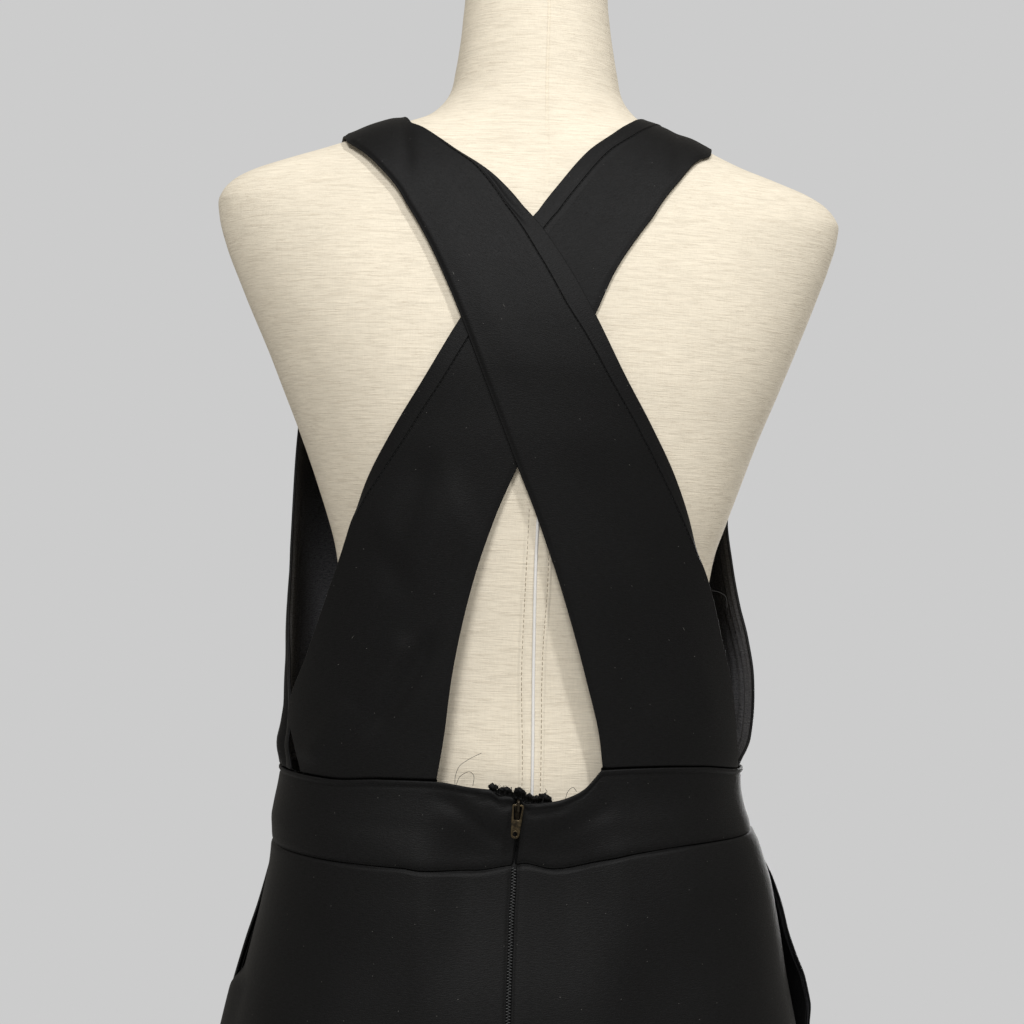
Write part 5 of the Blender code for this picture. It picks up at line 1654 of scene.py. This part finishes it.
def rounded(x, y, half_x, half_y, radius, steps=6):
    """Outline of a rounded oblong."""
    points = []
    for k, (sx, sy) in enumerate(((1, 1), (-1, 1), (-1, -1), (1, -1))):
        for i in range(steps + 1):
            a = math.pi / 2 * (k + i / steps)
            points.append((x + sx * (half_x - radius) + radius * math.cos(a),
                           y + sy * (half_y - radius) + radius * math.sin(a)))
    return points


def circle(x, y, radius, count=24):
    return [(x + radius * math.cos(a), y + radius * math.sin(a))
            for a in np.linspace(0, 2 * math.pi, count + 1)[:-1]]


def joined_mesh(name, objects, material):
    """Several closed pieces as one mesh."""
    bm = bmesh.new()
    for obj in objects:
        bm.from_mesh(obj.data)
        bpy.data.objects.remove(obj, do_unlink=True)
    return linked(name, smooth_mesh(name, bm, 50), material)


def mirrored(side):
    """A closed outline from its right side, top to bottom."""
    return side + [(-a, b) for a, b in reversed(side)]


def make_slider():
    """The slider with its arch, and the pull that hangs from it, on the hinge's own line."""
    x, y = HINGE_X, HINGE_Y - BAR_OUT
    patina = tuple(colours().patina)
    brass = plain_material("old_brass_fine", tuple(colours().brass), .34, 420, patina, .00005,
                           Metallic=1.)
    dark = plain_material("dark_brass_fine", [c * 1.6 for c in patina], .38, 420, patina, .00005,
                          Metallic=1.)
    upright = Matrix.Translation((x, y, HINGE_Z)) @ Matrix(
        ((0, 0, 1, 0), (1, 0, 0, 0), (0, 1, 0, 0), (0, 0, 0, 1)))
    arch = plate("slider_arch", [rounded(.0014, 0, .0040, .0037, .0016),
                                 rounded(.00255, 0, .00145, .0024, .0007)],
                 .0015, .00035, dark, upright)
    flat = Matrix.Translation((x, y - .0035, HINGE_Z - .0048)) @ Matrix.Rotation(
        math.radians(90), 4, "X")
    body = mirrored([(.0020, .0044), (.0036, .0030), (.0036, 0), (.0024, -.0034),
                     (.0022, -.0044)])
    body = plate("slider_body", [body], .0021, .0004, dark, flat)
    settle(joined_mesh("slider_fine", [arch, body], dark), "old_brass", "zip_slider")
    hang = (Matrix.Translation((x, y + BAR_OUT, HINGE_Z))
            @ Matrix.Rotation(math.radians(90 + PULL_LEAN), 4, "X")
            @ Matrix.Rotation(math.radians(PULL_ASKEW), 4, "Z"))
    outline = mirrored([(.0024, .0009), (.0033, .0006), (.0036, -.0002), (.0033, -.0078),
                        (.0027, -.0166), (.0025, -.0181), (.0018, -.0192), (.0008, -.0197)])
    slot = mirrored([(.0021, -.0002), (.0024, -.0008), (.0019, -.0080), (.0015, -.0085)])
    hole, half = -.0170, .0006
    tab = plate("pull_tab", [outline, slot, circle(0, hole, .00150)], half * 2, .00028, brass,
                hang)
    ring = bpy.data.curves.new("pull_rim", "CURVE")
    ring.dimensions, ring.bevel_depth, ring.bevel_resolution = "3D", .00026, 2
    for level in (half, -half):
        polyline(ring, [(a, b, level) for a, b in circle(0, hole, .00172)], closed=True)
    rim = solid("pull_rim", ring, brass, hang)
    settle(joined_mesh("pull_fine", [tab, rim], brass), "old_brass", "zip_pull", body="pull")


def make_threads():
    """Loose ends, as thin bent threads."""
    thread = thread_material()
    stray = plain_material("grey_thread", GREY_THREAD, .6, 900)
    for name, path in LOOSE_THREADS.items():
        points = through(path, 60) / 1000
        kind, radius = (stray, .00010) if name == "strap_stray" else (thread, .00015)
        settle(tube("thread_" + name, points, radius, kind, sides=6), "black_knit")


def make_stage():
    """A pale floor, an even pale room, three soft lights and the camera behind the back."""
    studio = bpy.context.scene.romper_studio
    bm = bmesh.new()
    bmesh.ops.create_circle(bm, cap_ends=True, radius=FLOOR_RADIUS, segments=96)
    bmesh.ops.translate(bm, vec=(0, 0, -.0005), verts=bm.verts)
    floor, add, shader = principled("floor_pale", Roughness=.85, Specular_IOR_Level=.2)
    tone = add.ramp(add.noise(add.where(), 3, 2), 0, 1, .62, .66)
    grey = add("ShaderNodeCombineColor", {0: tone, 1: tone, 2: tone}).outputs[0]
    add.feed(shader, {"Base Color": grey})
    linked("floor", smooth_mesh("floor", bm), floor)
    world = bpy.data.worlds.new("studio")
    bpy.context.scene.world = world
    world.use_nodes = True
    add = Nodes(world.node_tree)
    seen = add("ShaderNodeLightPath").outputs["Is Camera Ray"]
    add.feed(world.node_tree.nodes["Background"], {
        0: add.mixed(seen, (1, .95, .86, 1), (1, 1, 1, 1)),
        1: add.ramp(seen, 0, 1, studio.room, studio.backdrop)})
    for name, (place, aim, size) in LIGHTS.items():
        light(name, place, aim, size, getattr(studio, name))
    bpy.context.scene.view_settings.view_transform = "Standard"
    bpy.context.scene.view_settings.look = "None"
    make_camera(studio.distance)


def light(name, place, aim, size, power):
    """A round, soft light in one place that faces another."""
    data = bpy.data.lights.new(name, "AREA")
    data.energy, data.size, data.shape = power, size, "DISK"
    obj = placed(name, data)
    obj.location = place
    obj.rotation_euler = (Vector(aim) - Vector(place)).to_track_quat("-Z", "Y").to_euler()


def make_camera(distance):
    """The photograph's view: level, a little to the wearer's left of centre back."""
    turn, roll, height = math.radians(4), math.radians(1.85), 1.1989
    middle_px, metres_per_px, size_px = 519.5, .00066, 1024
    data = bpy.data.cameras.new("camera")
    data.sensor_width = 36
    data.lens = distance / metres_per_px / size_px * data.sensor_width
    data.shift_x = -(middle_px - size_px / 2) * math.cos(roll) / size_px
    ahead = Vector((-math.sin(turn), -math.cos(turn), 0))
    right, up = Vector((-math.cos(turn), math.sin(turn), 0)), Vector((0, 0, 1))
    across = right * math.cos(roll) + up * math.sin(roll)
    upright = up * math.cos(roll) - right * math.sin(roll)
    place = Matrix((across, upright, -ahead)).transposed().to_4x4()
    place.translation = (distance * math.sin(turn), distance * math.cos(turn), height)
    camera = placed("camera", data)
    camera.matrix_world = place
    bpy.context.scene.camera = camera


class ROMPER_OT_form(bpy.types.Operator):
    """Linen torso with its seam, placket and cord"""
    bl_idname = "romper.form"
    bl_label = "Dress form"

    def execute(self, context):
        make_form()
        return {"FINISHED"}


class ROMPER_OT_stand(bpy.types.Operator):
    """Base, pole, socket and collar"""
    bl_idname = "romper.stand"
    bl_label = "Stand"

    def execute(self, context):
        make_stand()
        return {"FINISHED"}


class ROMPER_OT_bodice(bpy.types.Operator):
    """Front bodice with its hems"""
    bl_idname = "romper.bodice"
    bl_label = "Bodice"

    def execute(self, context):
        make_bodice()
        return {"FINISHED"}


class ROMPER_OT_straps(bpy.types.Operator):
    """The two back straps, one over the other"""
    bl_idname = "romper.straps"
    bl_label = "Straps"

    def execute(self, context):
        make_straps()
        return {"FINISHED"}


class ROMPER_OT_waistband(bpy.types.Operator):
    """Waistband in three lengths, with its raw edge above the zip"""
    bl_idname = "romper.waistband"
    bl_label = "Waistband"

    def execute(self, context):
        make_band()
        return {"FINISHED"}


class ROMPER_OT_shorts(bpy.types.Operator):
    """The four panels of the shorts"""
    bl_idname = "romper.shorts"
    bl_label = "Shorts"

    def execute(self, context):
        make_shorts()
        return {"FINISHED"}


class ROMPER_OT_pockets(bpy.types.Operator):
    """Two pocket bags in the side seams"""
    bl_idname = "romper.pockets"
    bl_label = "Pockets"

    def execute(self, context):
        make_pockets()
        return {"FINISHED"}


class ROMPER_OT_zip(bpy.types.Operator):
    """Zip tapes, teeth, slider and pull"""
    bl_idname = "romper.zip"
    bl_label = "Zip"

    def execute(self, context):
        make_zip()
        return {"FINISHED"}


class ROMPER_OT_threads(bpy.types.Operator):
    """Loose ends of thread"""
    bl_idname = "romper.threads"
    bl_label = "Loose threads"

    def execute(self, context):
        make_threads()
        return {"FINISHED"}


class ROMPER_OT_stage(bpy.types.Operator):
    """Floor, room, lights and camera"""
    bl_idname = "romper.stage"
    bl_label = "Studio"

    def execute(self, context):
        make_stage()
        return {"FINISHED"}


STEPS = (ROMPER_OT_stage, ROMPER_OT_form, ROMPER_OT_stand, ROMPER_OT_bodice, ROMPER_OT_straps,
         ROMPER_OT_waistband, ROMPER_OT_shorts, ROMPER_OT_pockets, ROMPER_OT_zip,
         ROMPER_OT_threads)


class ROMPER_PT_panel(bpy.types.Panel):
    """Lists the pieces and their sizes"""
    bl_idname = "ROMPER_PT_panel"
    bl_label = "Romper"
    bl_space_type = "VIEW_3D"
    bl_region_type = "UI"
    bl_category = "Romper"

    def draw(self, context):
        for step in STEPS:
            self.layout.operator(step.bl_idname)
        for group in (context.scene.romper_sizes, context.scene.romper_colours,
                      context.scene.romper_studio):
            for name in group.__annotations__:
                self.layout.prop(group, name)


CLASSES = (RomperSizes, RomperColours, RomperStudio, *STEPS, ROMPER_PT_panel)


def register():
    for cls in CLASSES:
        bpy.utils.register_class(cls)
    bpy.types.Scene.romper_sizes = PointerProperty(type=RomperSizes)
    bpy.types.Scene.romper_colours = PointerProperty(type=RomperColours)
    bpy.types.Scene.romper_studio = PointerProperty(type=RomperStudio)


def unregister():
    del bpy.types.Scene.romper_studio
    del bpy.types.Scene.romper_colours
    del bpy.types.Scene.romper_sizes
    for cls in reversed(CLASSES):
        bpy.utils.unregister_class(cls)


def main():
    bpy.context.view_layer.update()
    register()
    for step in STEPS:
        getattr(bpy.ops.romper, step.bl_idname.split(".")[1])()


if __name__ == "__main__":
    main()
